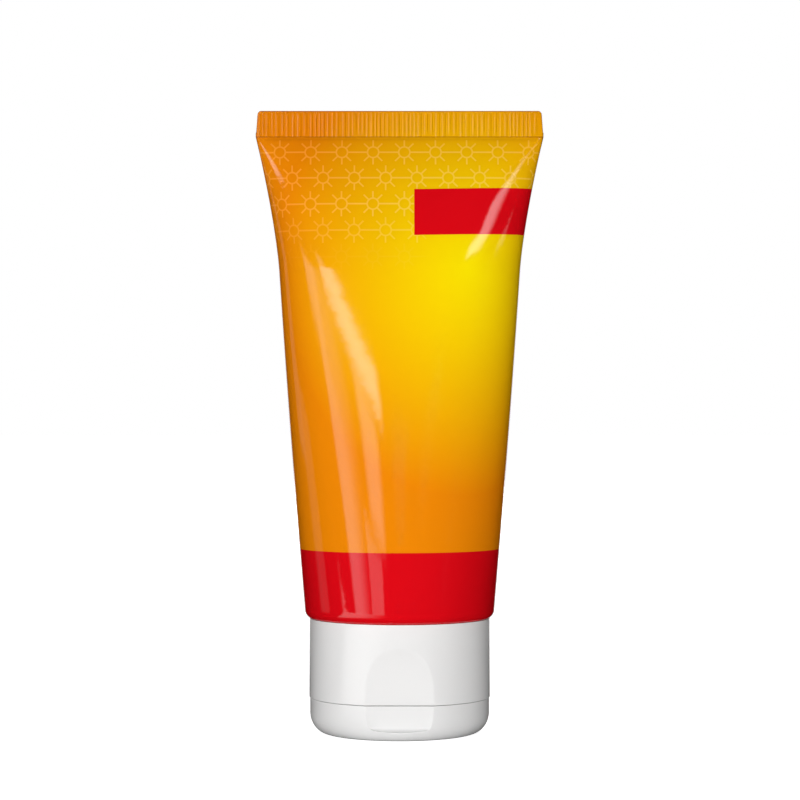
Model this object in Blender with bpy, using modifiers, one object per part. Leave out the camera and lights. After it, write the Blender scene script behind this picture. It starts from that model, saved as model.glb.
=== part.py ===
"""A squeeze tube of sun lotion that stands on its closed flip-top cap.

All lengths are in metres and +Z is up.  The origin is the centre of the lid's flat outer face, on
which the tube stands.  The thumb recess is at the front, -Y, and the cap's hinge at the back, +Y.

The pieces, from the table upwards:
    cap_lid        the lid that flips open, with its plug and the lower end of the thumb recess
    hinge films    two thin webs and a wider strap, which join the lid to the cap
    cap_base       the skirt, deck, spout, seal ring and threaded inner sleeve of the cap
    tube_head      the stiff shoulder disc and neck that the sleeve is welded to
    lotion_fill    what the tube holds
    tube_sleeve    the printed wall, round at the shoulder and pressed flat in a ribbed crimp
"""

import math

import bmesh
import bpy
from mathutils import Matrix, Vector

# Clearances.
FIT_GAP = 0.0003
SEAM_GAP = 0.0003
PLUG_GAP = 0.0003
OVERRUN = 0.001

# Sleeve.  The widths are those of the outer face.
SLEEVE_RADIUS = 0.0175
SLEEVE_WALL = 0.0005
SLEEVE_HEIGHT = 0.0886
SHOULDER_ROUND = 0.0018
SPREAD_STRAIGHT_SHARE = 0.73
SPREAD_BELLY_SHARE = 0.02
FLARE_START_SHARE = 0.72
FLARE_POWER = 1.6
ROUNDNESS_TOP_SHARE = 0.2
CAVITY_END = 0.0016
SLEEVE_COLUMNS = 52
SLEEVE_ROWS = 18
CAVITY_ROWS = 8
ROUND_STEPS = 4

# Crimp, the welded end of the sleeve.
CRIMP_WIDTH = 0.0530
CRIMP_TOP_WIDTH = 0.0523
CRIMP_HEIGHT = 0.0048
CRIMP_THICKNESS = 0.0011
CRIMP_CORNER = 0.0006
CRIMP_STEP = 0.00005
CRIMP_ROOT = 0.0008
RIB_PITCH = 0.00095
RIB_HEIGHT = 0.00014
RIB_PLACE_SHARES = (0.0, 0.3, 0.7)
RIB_RISE_SHARES = (0.0, 1.0, 1.0)

# Head, the moulding inside the sleeve's lower end.
SHOULDER_DROP = 0.0010
SHOULDER_THICKNESS = 0.0015
COLLAR_HEIGHT = 0.0020
COLLAR_WALL = 0.0008
COLLAR_TAPER = 0.0004
NECK_RADIUS = 0.0082
NECK_WALL = 0.0014
THREAD_DEPTH = 0.0008
LIP_CHAMFER = 0.0003
HEAD_STEPS = 36

# Lotion.
FILL_HEIGHT = 0.0640
NECK_FILL_GAP = 0.0006
LOTION_COLUMNS = 36
LOTION_ROWS = 8

# Cap base.  Its wall stands in a little from the sleeve's.
BASE_INSET = 0.0009
BASE_HEIGHT = 0.0138
BASE_WALL = 0.0012
BASE_EDGE = 0.0002
DECK_THICKNESS = 0.0008
DECK_STEP = 0.0008
SPOUT_LENGTH = 0.0028
SPOUT_ROOT_RADIUS = 0.0036
SPOUT_TIP_RADIUS = 0.0032
SPOUT_EDGE = 0.0003
ORIFICE_RADIUS = 0.0021
SEAL_RING_WALL = 0.0008
SEAL_RING_HEIGHT = 0.0020
INNER_SLEEVE_WALL = 0.0012
STIFFENER_COUNT = 8
STIFFENER_THICKNESS = 0.0008
STIFFENER_HEIGHT = 0.0100
CAP_STEPS = 64

# Lid.
LID_HEIGHT = 0.0065
LID_INSET = 0.00015
LID_WALL = 0.0012
LID_FLOOR = 0.0012
LID_ROUND_WIDTH = 0.0032
LID_ROUND_HEIGHT = 0.0038
LID_ROUND_STEPS = 5
PLUG_REACH = 0.0018
PLUG_BORE_RADIUS = 0.0009
PLUG_CHAMFER = 0.0005

# Thumb recess, which runs over the seam at the front of lid and base.  Its depth below the round
# wall grows towards the ledge, so its upper edge is soft and its sides are crisp.
RECESS_HALF_WIDTH = 0.0064
RECESS_HALF_HEIGHT = 0.0096
RECESS_CENTRE_Z = 0.0074
RECESS_DEPTH = 0.0026
RECESS_DEEPENING_SHARE = 0.75
RECESS_POWER = 2.3
LEDGE_Z = 0.0023
LEDGE_SLOPE = 0.2
RECESS_COLUMNS = 18
RECESS_ROWS = 24

# Hinge, in a pocket at the back of lid and base.
HINGE_INSET = 0.0009
POCKET_FLOOR_INSET = 0.0005
POCKET_MARGIN = 0.0007
BASE_POCKET_HEIGHT = 0.0040
LID_POCKET_HEIGHT = 0.0032
FILM_WIDTH = 0.0030
FILM_THICKNESS = 0.00035
FILM_HEIGHT = 0.0015
FILM_SPACE = 0.0006
STRAP_WIDTH = 0.0032
STRAP_THICKNESS = 0.0006
STRAP_RISE = 0.0032
STRAP_DROP = 0.0030
STRAP_EDGE = 0.00015

MERGE_DISTANCE = 0.00001
SHARP_ANGLE = math.radians(35)

# Places worked out from the sizes above.
BASE_RADIUS = SLEEVE_RADIUS - BASE_INSET
LID_RADIUS = BASE_RADIUS - LID_INSET
LID_INNER_RADIUS = LID_RADIUS - LID_WALL
BASE_Z = LID_HEIGHT + SEAM_GAP
DECK_FACE_Z = BASE_Z - DECK_STEP
DECK_INNER_Z = BASE_Z + DECK_THICKNESS
SPOUT_TIP_Z = DECK_FACE_Z - SPOUT_LENGTH
BASE_TOP_Z = BASE_Z + BASE_HEIGHT
BASE_INNER_RADIUS = BASE_RADIUS - BASE_WALL
SHOULDER_Z = BASE_TOP_Z + FIT_GAP
NECK_ROOT_Z = SHOULDER_Z - SHOULDER_DROP
NECK_TIP_Z = DECK_INNER_Z + FIT_GAP
NECK_BORE_RADIUS = NECK_RADIUS - NECK_WALL
BORE_TOP_Z = NECK_ROOT_Z + SHOULDER_THICKNESS
INNER_SLEEVE_RADIUS = NECK_RADIUS + THREAD_DEPTH + FIT_GAP
INNER_SLEEVE_TOP_Z = NECK_ROOT_Z - FIT_GAP
ROUND_TOP_Z = SHOULDER_Z + SHOULDER_ROUND
CRIMP_FOOT_Z = SHOULDER_Z + SLEEVE_HEIGHT
CAVITY_TOP_Z = CRIMP_FOOT_Z - CAVITY_END
COLLAR_TOP_Z = ROUND_TOP_Z + COLLAR_HEIGHT
COLLAR_RADIUS = SLEEVE_RADIUS - SLEEVE_WALL - FIT_GAP
FILL_TOP_Z = SHOULDER_Z + FILL_HEIGHT
HINGE_Y = BASE_RADIUS - HINGE_INSET
HINGE_Z = LID_HEIGHT + SEAM_GAP / 2
POCKET_FLOOR_Y = HINGE_Y - POCKET_FLOOR_INSET
POCKET_HALF_WIDTH = math.sqrt(LID_RADIUS ** 2 - HINGE_Y ** 2) + POCKET_MARGIN
WEB_FRONT_Y = POCKET_FLOOR_Y - BASE_WALL
RECESS_TOP_Z = RECESS_CENTRE_Z + RECESS_HALF_HEIGHT


def clear_scene():
    """Take every object out of the open scene."""
    for obj in list(bpy.data.objects):
        bpy.data.objects.remove(obj, do_unlink=True)


def new_collection(name):
    collection = bpy.data.collections.new(name)
    bpy.context.scene.collection.children.link(collection)
    return collection


def new_material(name, color, roughness):
    """A plastic of one colour."""
    made = bpy.data.materials.new(name)
    made.use_nodes = True
    shader = made.node_tree.nodes["Principled BSDF"]
    shader.inputs["Base Color"].default_value = (*color, 1.0)
    shader.inputs["Roughness"].default_value = roughness
    shader.inputs["Metallic"].default_value = 0.0
    made.diffuse_color = (*color, 1.0)
    return made


def object_from_bmesh(name, bm, collection):
    """Turn a bmesh into a smooth-shaded object, with sharp edges where the surface breaks."""
    bmesh.ops.recalc_face_normals(bm, faces=bm.faces)
    mesh = bpy.data.meshes.new(name)
    bm.to_mesh(mesh)
    bm.free()
    mesh.shade_smooth()
    mesh.set_sharp_from_angle(angle=SHARP_ANGLE)
    obj = bpy.data.objects.new(name, mesh)
    collection.objects.link(obj)
    return obj


def smooth_by_angle(obj):
    """Shade obj smooth after its other modifiers, but keep its creases sharp."""
    name = "smooth by angle"
    group = bpy.data.node_groups.get(name)
    if group is None:
        group = bpy.data.node_groups.new(name, "GeometryNodeTree")
        group.interface.new_socket("Mesh", in_out="INPUT", socket_type="NodeSocketGeometry")
        group.interface.new_socket("Mesh", in_out="OUTPUT", socket_type="NodeSocketGeometry")
        source = group.nodes.new("NodeGroupInput")
        angle = group.nodes.new("GeometryNodeInputMeshEdgeAngle")
        flat = group.nodes.new("FunctionNodeCompare")
        flat.operation = "LESS_THAN"
        flat.inputs["B"].default_value = SHARP_ANGLE
        shade = group.nodes.new("GeometryNodeSetShadeSmooth")
        shade.domain = "EDGE"
        result = group.nodes.new("NodeGroupOutput")
        group.links.new(source.outputs["Mesh"], shade.inputs["Geometry"])
        group.links.new(angle.outputs["Unsigned Angle"], flat.inputs["A"])
        group.links.new(flat.outputs["Result"], shade.inputs["Shade Smooth"])
        group.links.new(shade.outputs["Geometry"], result.inputs["Mesh"])
    modifier = obj.modifiers.new(name, "NODES")
    modifier.node_group = group


def turned(name, profile, closed, steps, collection):
    """Turn a profile of (radius, height) points about the Z axis.

    The points run down the outer side, top to bottom.
    """
    mesh = bpy.data.meshes.new(name)
    edges = [(i, i + 1) for i in range(len(profile) - 1)]
    if closed:
        edges.append((len(profile) - 1, 0))
    mesh.from_pydata([(radius, 0.0, height) for radius, height in profile], edges, [])
    obj = bpy.data.objects.new(name, mesh)
    collection.objects.link(obj)
    screw = obj.modifiers.new("turn", "SCREW")
    screw.axis = "Z"
    screw.angle = math.tau
    screw.steps = steps
    screw.render_steps = steps
    screw.use_merge_vertices = True
    screw.merge_threshold = MERGE_DISTANCE
    screw.use_smooth_shade = True
    return obj


def quarter_ellipse(centre, half_width, half_height, start, end, steps):
    """Points of an arc about centre, from angle start to angle end."""
    points = []
    for i in range(steps + 1):
        angle = start + (end - start) * i / steps
        points.append((centre[0] + half_width * math.cos(angle),
                       centre[1] + half_height * math.sin(angle)))
    return points


def cut(target, tool, operation="DIFFERENCE"):
    """Add a Boolean to target and keep the tool out of sight."""
    boolean = target.modifiers.new(tool.name, "BOOLEAN")
    boolean.operation = operation
    boolean.object = tool
    boolean.solver = "EXACT"
    tool.hide_render = True
    tool.display_type = "WIRE"
    return boolean


def block(name, low, high, collection):
    """A box between two corners."""
    bm = bmesh.new()
    bmesh.ops.create_cube(bm, size=1.0)
    low, high = Vector(low), Vector(high)
    bmesh.ops.scale(bm, vec=high - low, verts=bm.verts)
    bmesh.ops.translate(bm, vec=(high + low) / 2, verts=bm.verts)
    return object_from_bmesh(name, bm, collection)


def cylinder(name, radius, low_z, high_z, collection, back_of=None):
    """A plain cylinder on the Z axis, or only its part behind the plane y = back_of."""
    bm = bmesh.new()
    bmesh.ops.create_cone(bm, cap_ends=True, segments=CAP_STEPS, radius1=radius, radius2=radius,
                          depth=high_z - low_z)
    bmesh.ops.translate(bm, vec=(0.0, 0.0, (high_z + low_z) / 2), verts=bm.verts)
    if back_of is not None:
        geometry = bm.verts[:] + bm.edges[:] + bm.faces[:]
        split = bmesh.ops.bisect_plane(bm, geom=geometry, plane_co=(0.0, back_of, 0.0),
                                       plane_no=(0.0, 1.0, 0.0), clear_inner=True)
        rim = [item for item in split["geom_cut"] if isinstance(item, bmesh.types.BMEdge)]
        bmesh.ops.contextual_create(bm, geom=rim)
    return object_from_bmesh(name, bm, collection)


def slab(name, outline, thickness, placing, collection):
    """A flat outline in X and Y given a thickness, as a closed mesh, moved by the matrix placing."""
    curve = bpy.data.curves.new(name, "CURVE")
    curve.dimensions = "2D"
    curve.fill_mode = "BOTH"
    curve.extrude = thickness / 2
    spline = curve.splines.new("POLY")
    spline.points.add(len(outline) - 1)
    for point, (x, y) in zip(spline.points, outline):
        point.co = (x, y, 0.0, 1.0)
    spline.use_cyclic_u = True
    source = bpy.data.objects.new(name + "_curve", curve)
    collection.objects.link(source)
    source.matrix_world = placing
    bpy.context.view_layer.update()
    graph = bpy.context.evaluated_depsgraph_get()
    mesh = bpy.data.meshes.new_from_object(source.evaluated_get(graph))
    bm = bmesh.new()
    bm.from_mesh(mesh)
    bmesh.ops.remove_doubles(bm, verts=bm.verts, dist=MERGE_DISTANCE)
    obj = object_from_bmesh(name, bm, collection)
    obj.matrix_world = source.matrix_world
    bpy.data.objects.remove(source, do_unlink=True)
    bpy.data.meshes.remove(mesh)
    return obj


def section_points(half_width, half_depth, roundness, count):
    """One cross-section of the sleeve, as count points at equal steps along its girth.

    A roundness of 1 gives an ellipse.  As it falls to 0 the section turns into two flat faces
    with round ends.
    """
    fine = 16 * count
    straight = half_width - half_depth
    dense = []
    for i in range(fine + 1):
        angle = math.tau * i / fine
        side = math.cos(angle)
        x = straight * math.copysign(abs(side) ** roundness, side) + half_depth * side
        dense.append((x, half_depth * math.sin(angle)))
    lengths = [0.0]
    for first, second in zip(dense, dense[1:]):
        lengths.append(lengths[-1] + math.dist(first, second))
    points = []
    k = 0
    for i in range(count):
        wanted = lengths[-1] * i / count
        while lengths[k + 1] < wanted:
            k += 1
        along = (wanted - lengths[k]) / (lengths[k + 1] - lengths[k])
        points.append(tuple(a + along * (b - a) for a, b in zip(dense[k], dense[k + 1])))
    return points, lengths[-1]


def sleeve_half_width(share):
    """Half the sleeve's width at a share of its height, which flares to the crimp."""
    spread = CRIMP_WIDTH / 2 - SLEEVE_RADIUS
    along = min(share / FLARE_START_SHARE, 1.0)
    belly = SPREAD_BELLY_SHARE * 4 * along * (1 - along)
    above = max(share - FLARE_START_SHARE, 0.0) / (1 - FLARE_START_SHARE)
    flare = (1 - SPREAD_STRAIGHT_SHARE) * above ** FLARE_POWER
    return SLEEVE_RADIUS + spread * (SPREAD_STRAIGHT_SHARE * share + belly + flare)


def sleeve_roundness(share):
    return 1 - (1 - ROUNDNESS_TOP_SHARE) * share


def sleeve_half_depth(share):
    """Half the sleeve's depth, found from its girth, which pressing the tube flat hardly changes."""
    half_width = sleeve_half_width(share)
    roundness = sleeve_roundness(share)
    foot_half_depth = CRIMP_THICKNESS / 2 - CRIMP_STEP
    crimp_girth = section_points(CRIMP_WIDTH / 2, foot_half_depth, ROUNDNESS_TOP_SHARE,
                                 SLEEVE_COLUMNS)[1]
    girth = math.tau * SLEEVE_RADIUS * (1 - share) + crimp_girth * share
    low, high = 0.0, SLEEVE_RADIUS + SLEEVE_WALL
    for _ in range(30):
        middle = (low + high) / 2
        if section_points(half_width, middle, roundness, SLEEVE_COLUMNS)[1] < girth:
            low = middle
        else:
            high = middle
    return (low + high) / 2


def sleeve_ring(height, inset, count):
    """The sleeve's section at a height, drawn in by inset, as a ring of points in space."""
    share = (height - ROUND_TOP_Z) / (CRIMP_FOOT_Z - ROUND_TOP_Z)
    points, _ = section_points(sleeve_half_width(share) - inset, sleeve_half_depth(share) - inset,
                               sleeve_roundness(share), count)
    return [(x, y, height) for x, y in points]


def round_ring(radius, height, count):
    return [(radius * math.cos(math.tau * i / count), radius * math.sin(math.tau * i / count),
             height) for i in range(count)]


def heights_between(low, high, rows):
    return [low + (high - low) * i / rows for i in range(rows + 1)]


def loft(name, rings, collection):
    """Join rings of equal count into one skin, with a cap on the first and the last."""
    bm = bmesh.new()
    loops = [[bm.verts.new(point) for point in ring] for ring in rings]
    count = len(rings[0])
    for lower, upper in zip(loops, loops[1:]):
        for i in range(count):
            j = (i + 1) % count
            bm.faces.new((lower[i], lower[j], upper[j], upper[i]))
    bm.faces.new(reversed(loops[0]))
    bm.faces.new(loops[-1])
    return object_from_bmesh(name, bm, collection)


def crimp_tool(collection):
    """The crimp: a strip with ribs on both faces, trimmed to the outline seen from the front."""
    half_depth = CRIMP_THICKNESS / 2
    ribs = math.ceil((CRIMP_WIDTH + OVERRUN) / RIB_PITCH)
    start = -ribs * RIB_PITCH / 2
    front = []
    for i in range(ribs):
        for place_share, rise_share in zip(RIB_PLACE_SHARES, RIB_RISE_SHARES):
            front.append((start + (i + place_share) * RIB_PITCH,
                          -half_depth - RIB_HEIGHT * rise_share))
    front.append((-start, -half_depth))
    back = [(x, -y) for x, y in reversed(front)]
    height = CRIMP_HEIGHT + CRIMP_STEP
    centre_z = CRIMP_FOOT_Z + height / 2
    strip = slab("crimp_strip", front + back, height + OVERRUN,
                 Matrix.Translation((0.0, 0.0, centre_z)), collection)

    half_foot, half_top = CRIMP_WIDTH / 2, CRIMP_TOP_WIDTH / 2
    corner = (half_top - CRIMP_CORNER, CRIMP_HEIGHT - CRIMP_CORNER)
    right = [(half_foot, 0.0)]
    right += quarter_ellipse(corner, CRIMP_CORNER, CRIMP_CORNER, 0.0, math.pi / 2, ROUND_STEPS)
    left = [(-x, y) for x, y in reversed(right)]
    standing = Matrix.Translation((0.0, 0.0, CRIMP_FOOT_Z)) @ Matrix.Rotation(math.pi / 2, 4, "X")
    outline = slab("crimp_outline", right + left, CRIMP_THICKNESS + 2 * RIB_HEIGHT + OVERRUN,
                   standing, collection)
    cut(strip, outline, "INTERSECT")
    return strip


def make_sleeve(parts, tools):
    """Outer skin, then the lip at the shoulder, then the skin of the cavity."""
    inner_round = SHOULDER_ROUND - SLEEVE_WALL
    centre_radius = SLEEVE_RADIUS - SHOULDER_ROUND
    outer = [sleeve_ring(z, 0.0, SLEEVE_COLUMNS)
             for z in heights_between(ROUND_TOP_Z, CRIMP_FOOT_Z, SLEEVE_ROWS)]
    top_ring = outer[-1]
    outer.append([(x, y, z + CRIMP_ROOT) for x, y, z in top_ring])
    for radius, height in quarter_ellipse((centre_radius, ROUND_TOP_Z), SHOULDER_ROUND,
                                          SHOULDER_ROUND, 0.0, -math.pi / 2, ROUND_STEPS)[1:]:
        outer.insert(0, round_ring(radius, height, SLEEVE_COLUMNS))
    inner = []
    for radius, height in quarter_ellipse((centre_radius, ROUND_TOP_Z), inner_round, inner_round,
                                          -math.pi / 2, 0.0, ROUND_STEPS)[:-1]:
        inner.append(round_ring(radius, height, SLEEVE_COLUMNS))
    inner += [sleeve_ring(z, SLEEVE_WALL, SLEEVE_COLUMNS)
              for z in heights_between(ROUND_TOP_Z, CAVITY_TOP_Z, CAVITY_ROWS)]
    sleeve = loft("tube_sleeve", list(reversed(inner)) + outer, parts)
    cut(sleeve, crimp_tool(tools), "UNION")
    return sleeve


def make_head(parts):
    """Shoulder disc with a collar inside the sleeve, and the neck that the cap sits on."""
    curl_radius = SLEEVE_RADIUS - SHOULDER_ROUND
    seat_round = SHOULDER_ROUND - SLEEVE_WALL - FIT_GAP
    disc_radius = curl_radius - FIT_GAP
    collar_inner = COLLAR_RADIUS - COLLAR_WALL
    disc_top_z = SHOULDER_Z + SHOULDER_THICKNESS
    profile = [(collar_inner, COLLAR_TOP_Z), (COLLAR_RADIUS - COLLAR_TAPER, COLLAR_TOP_Z)]
    profile += quarter_ellipse((curl_radius, ROUND_TOP_Z), seat_round, seat_round,
                               0.0, -math.pi / 2, ROUND_STEPS)
    profile += [
        (disc_radius, ROUND_TOP_Z - seat_round),
        (disc_radius, SHOULDER_Z),
        (INNER_SLEEVE_RADIUS, NECK_ROOT_Z),
        (NECK_RADIUS, NECK_ROOT_Z),
        (NECK_RADIUS, NECK_TIP_Z + LIP_CHAMFER),
        (NECK_RADIUS - LIP_CHAMFER, NECK_TIP_Z),
        (NECK_BORE_RADIUS, NECK_TIP_Z),
        (NECK_BORE_RADIUS, BORE_TOP_Z),
        (collar_inner, disc_top_z),
    ]
    return turned("tube_head", profile, True, HEAD_STEPS, parts)


def make_lotion(parts):
    """The lotion fills the neck's bore and the sleeve up to its level."""
    collar_inner = COLLAR_RADIUS - COLLAR_WALL - FIT_GAP
    bore = NECK_BORE_RADIUS - FIT_GAP
    disc_top_z = SHOULDER_Z + SHOULDER_THICKNESS + FIT_GAP
    seal_top_z = DECK_INNER_Z + SEAL_RING_HEIGHT
    inset = SLEEVE_WALL + FIT_GAP
    collar_clear_z = COLLAR_TOP_Z + FIT_GAP
    rings = [round_ring(bore, seal_top_z + NECK_FILL_GAP, LOTION_COLUMNS),
             round_ring(bore, BORE_TOP_Z + FIT_GAP, LOTION_COLUMNS),
             round_ring(collar_inner, disc_top_z, LOTION_COLUMNS),
             round_ring(collar_inner, collar_clear_z, LOTION_COLUMNS)]
    rings += [sleeve_ring(z, inset, LOTION_COLUMNS)
              for z in heights_between(collar_clear_z, FILL_TOP_Z, LOTION_ROWS)]
    return loft("lotion_fill", rings, parts)


def recess_depth(x, z):
    """How far the recess lies below the round wall.  It is zero on the recess's outline."""
    across = abs(x) / RECESS_HALF_WIDTH
    upward = (z - RECESS_CENTRE_Z) / RECESS_HALF_HEIGHT
    bowl = 1 - across ** RECESS_POWER - abs(upward) ** RECESS_POWER
    return RECESS_DEPTH * (1 - RECESS_DEEPENING_SHARE * upward) * bowl


def recess_block(name, inset, low_z, high_z, collection, slope=0.0):
    """The space in front of the recess's surface, which inset moves further into the cap."""
    half_width = RECESS_HALF_WIDTH + 2 * OVERRUN
    front_y = -BASE_RADIUS - 2 * OVERRUN
    bm = bmesh.new()
    bmesh.ops.create_grid(bm, x_segments=RECESS_COLUMNS, y_segments=RECESS_ROWS, size=1.0)
    for vert in bm.verts:
        x = vert.co.x * half_width
        z = low_z + (high_z - low_z) * (vert.co.y + 1) / 2
        wall_y = -math.sqrt(BASE_RADIUS ** 2 - x ** 2)
        vert.co = (x, wall_y + recess_depth(x, z) + inset, z)
    extruded = bmesh.ops.extrude_face_region(bm, geom=bm.faces[:], use_keep_orig=True)
    for item in extruded["geom"]:
        if isinstance(item, bmesh.types.BMVert):
            if abs(item.co.z - low_z) < MERGE_DISTANCE:
                item.co.z -= slope * (item.co.y - front_y)
            item.co.y = front_y
    return object_from_bmesh(name, bm, collection)


def make_base(parts, tools):
    deck_radius = LID_INNER_RADIUS - FIT_GAP
    seal_radius = NECK_BORE_RADIUS - FIT_GAP
    sleeve_outer = INNER_SLEEVE_RADIUS + INNER_SLEEVE_WALL
    seal_top_z = DECK_INNER_Z + SEAL_RING_HEIGHT
    profile = [
        (BASE_INNER_RADIUS, BASE_TOP_Z),
        (BASE_RADIUS - BASE_EDGE, BASE_TOP_Z),
        (BASE_RADIUS, BASE_TOP_Z - BASE_EDGE),
        (BASE_RADIUS, BASE_Z),
        (deck_radius, BASE_Z),
        (deck_radius, DECK_FACE_Z),
        (SPOUT_ROOT_RADIUS, DECK_FACE_Z),
        (SPOUT_TIP_RADIUS, SPOUT_TIP_Z + SPOUT_EDGE),
        (SPOUT_TIP_RADIUS - SPOUT_EDGE, SPOUT_TIP_Z),
        (ORIFICE_RADIUS, SPOUT_TIP_Z),
        (ORIFICE_RADIUS, DECK_INNER_Z),
        (seal_radius - SEAL_RING_WALL, DECK_INNER_Z),
        (seal_radius - SEAL_RING_WALL, seal_top_z),
        (seal_radius, seal_top_z),
        (seal_radius, DECK_INNER_Z),
        (INNER_SLEEVE_RADIUS, DECK_INNER_Z),
        (INNER_SLEEVE_RADIUS, INNER_SLEEVE_TOP_Z),
        (sleeve_outer, INNER_SLEEVE_TOP_Z),
        (sleeve_outer, DECK_INNER_Z),
        (BASE_INNER_RADIUS, DECK_INNER_Z),
    ]
    base = turned("cap_base", profile, True, CAP_STEPS, parts)

    wall_middle = BASE_RADIUS - BASE_WALL / 2
    deck_middle_z = BASE_Z + DECK_THICKNESS / 2
    bulge = recess_block("base_recess_wall", BASE_WALL, deck_middle_z, RECESS_TOP_Z + OVERRUN, tools)
    cut(bulge, cylinder("base_recess_limit", wall_middle, BASE_Z, BASE_TOP_Z, tools), "INTERSECT")
    cut(base, bulge, "UNION")
    web_top_z = BASE_Z + BASE_POCKET_HEIGHT + BASE_WALL
    web = cylinder("base_hinge_web", wall_middle, deck_middle_z, web_top_z, tools, WEB_FRONT_Y)
    cut(base, web, "UNION")
    bm = bmesh.new()
    for i in range(STIFFENER_COUNT):
        made = bmesh.ops.create_cube(bm, size=1.0)["verts"]
        inner, outer = sleeve_outer - INNER_SLEEVE_WALL / 2, wall_middle
        high_z = DECK_INNER_Z + STIFFENER_HEIGHT
        bmesh.ops.scale(bm, vec=(outer - inner, STIFFENER_THICKNESS, high_z - deck_middle_z),
                        verts=made)
        bmesh.ops.translate(bm, vec=((outer + inner) / 2, 0.0, (high_z + deck_middle_z) / 2),
                            verts=made)
        turn = Matrix.Rotation(math.tau * (i + 0.5) / STIFFENER_COUNT, 3, "Z")
        bmesh.ops.rotate(bm, matrix=turn, verts=made)
    cut(base, object_from_bmesh("base_stiffeners", bm, tools), "UNION")

    cut(base, recess_block("base_recess", 0.0, LEDGE_Z, RECESS_TOP_Z + OVERRUN, tools))
    cut(base, recess_block("deck_front_clearance", LID_WALL + FIT_GAP, SPOUT_TIP_Z, BASE_Z, tools))
    clear_half_width = POCKET_HALF_WIDTH + 2 * BASE_WALL
    cut(base, block("deck_back_clearance",
                    (-clear_half_width, WEB_FRONT_Y - FIT_GAP, SPOUT_TIP_Z),
                    (clear_half_width, BASE_RADIUS + OVERRUN, BASE_Z), tools))
    cut(base, block("base_pocket",
                    (-POCKET_HALF_WIDTH, POCKET_FLOOR_Y, SPOUT_TIP_Z),
                    (POCKET_HALF_WIDTH, BASE_RADIUS + OVERRUN, BASE_Z + BASE_POCKET_HEIGHT), tools))
    return base


def make_lid(parts, tools):
    round_centre = (LID_RADIUS - LID_ROUND_WIDTH, LID_ROUND_HEIGHT)
    plug_radius = ORIFICE_RADIUS - PLUG_GAP
    plug_tip_z = SPOUT_TIP_Z + PLUG_REACH
    profile = [
        (0.0, LID_FLOOR),
        (PLUG_BORE_RADIUS, LID_FLOOR),
        (PLUG_BORE_RADIUS, plug_tip_z),
        (plug_radius - PLUG_CHAMFER, plug_tip_z),
        (plug_radius, plug_tip_z - PLUG_CHAMFER),
        (plug_radius, LID_FLOOR),
    ]
    profile += quarter_ellipse(round_centre, LID_ROUND_WIDTH - LID_WALL,
                               LID_ROUND_HEIGHT - LID_FLOOR, -math.pi / 2, 0.0, LID_ROUND_STEPS)
    profile += [(LID_INNER_RADIUS, LID_HEIGHT), (LID_RADIUS, LID_HEIGHT)]
    profile += quarter_ellipse(round_centre, LID_ROUND_WIDTH, LID_ROUND_HEIGHT,
                               0.0, -math.pi / 2, LID_ROUND_STEPS)
    profile.append((0.0, 0.0))
    lid = turned("cap_lid", profile, False, CAP_STEPS, parts)

    wall_middle = LID_RADIUS - LID_WALL / 2
    floor_middle = LID_FLOOR / 2
    bulge = recess_block("lid_recess_wall", LID_WALL, floor_middle, LID_HEIGHT, tools)
    limit = turned("lid_recess_limit", [
        (0.0, LID_HEIGHT + OVERRUN),
        (wall_middle, LID_HEIGHT + OVERRUN),
        *quarter_ellipse(round_centre, LID_ROUND_WIDTH - LID_WALL / 2,
                         LID_ROUND_HEIGHT - floor_middle, 0.0, -math.pi / 2, LID_ROUND_STEPS),
        (0.0, floor_middle),
    ], False, CAP_STEPS, tools)
    cut(bulge, limit, "INTERSECT")
    cut(lid, bulge, "UNION")
    web = cylinder("lid_hinge_web", wall_middle, floor_middle, LID_HEIGHT, tools, WEB_FRONT_Y)
    cut(web, limit, "INTERSECT")
    cut(lid, web, "UNION")
    cut(lid, recess_block("lid_recess", 0.0, LEDGE_Z, RECESS_TOP_Z, tools, LEDGE_SLOPE))
    cut(lid, block("lid_pocket",
                   (-POCKET_HALF_WIDTH, POCKET_FLOOR_Y, LID_HEIGHT - LID_POCKET_HEIGHT),
                   (POCKET_HALF_WIDTH, BASE_RADIUS + OVERRUN, BASE_Z), tools))
    return lid


def make_hinge(parts):
    """Two thin webs on the hinge's axis, and the strap between them that snaps the lid open."""
    front_y = POCKET_FLOOR_Y + FIT_GAP
    film_x = STRAP_WIDTH / 2 + FILM_SPACE + FILM_WIDTH / 2
    pieces = []
    for name, side in (("hinge_film_left", -1), ("hinge_film_right", 1)):
        pieces.append(block(name,
                            (side * film_x - FILM_WIDTH / 2, front_y, HINGE_Z - FILM_HEIGHT / 2),
                            (side * film_x + FILM_WIDTH / 2, front_y + FILM_THICKNESS,
                             HINGE_Z + FILM_HEIGHT / 2), parts))
    strap = block("hinge_strap", (-STRAP_WIDTH / 2, front_y, HINGE_Z - STRAP_DROP),
                  (STRAP_WIDTH / 2, front_y + STRAP_THICKNESS, HINGE_Z + STRAP_RISE), parts)
    bevel = strap.modifiers.new("edges", "BEVEL")
    bevel.width = STRAP_EDGE
    bevel.segments = 2
    bevel.limit_method = "ANGLE"
    pieces.append(strap)
    return pieces


def empty_at(name, place, collection):
    empty = bpy.data.objects.new(name, None)
    empty.location = place
    collection.objects.link(empty)
    return empty


def hang(child, parent):
    """Parent child without moving it, with the tools that shape it."""
    bpy.context.view_layer.update()
    child.parent = parent
    child.matrix_parent_inverse = parent.matrix_world.inverted()
    for modifier in child.modifiers:
        if modifier.type == "BOOLEAN" and modifier.object.parent is None:
            hang(modifier.object, child)


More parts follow.
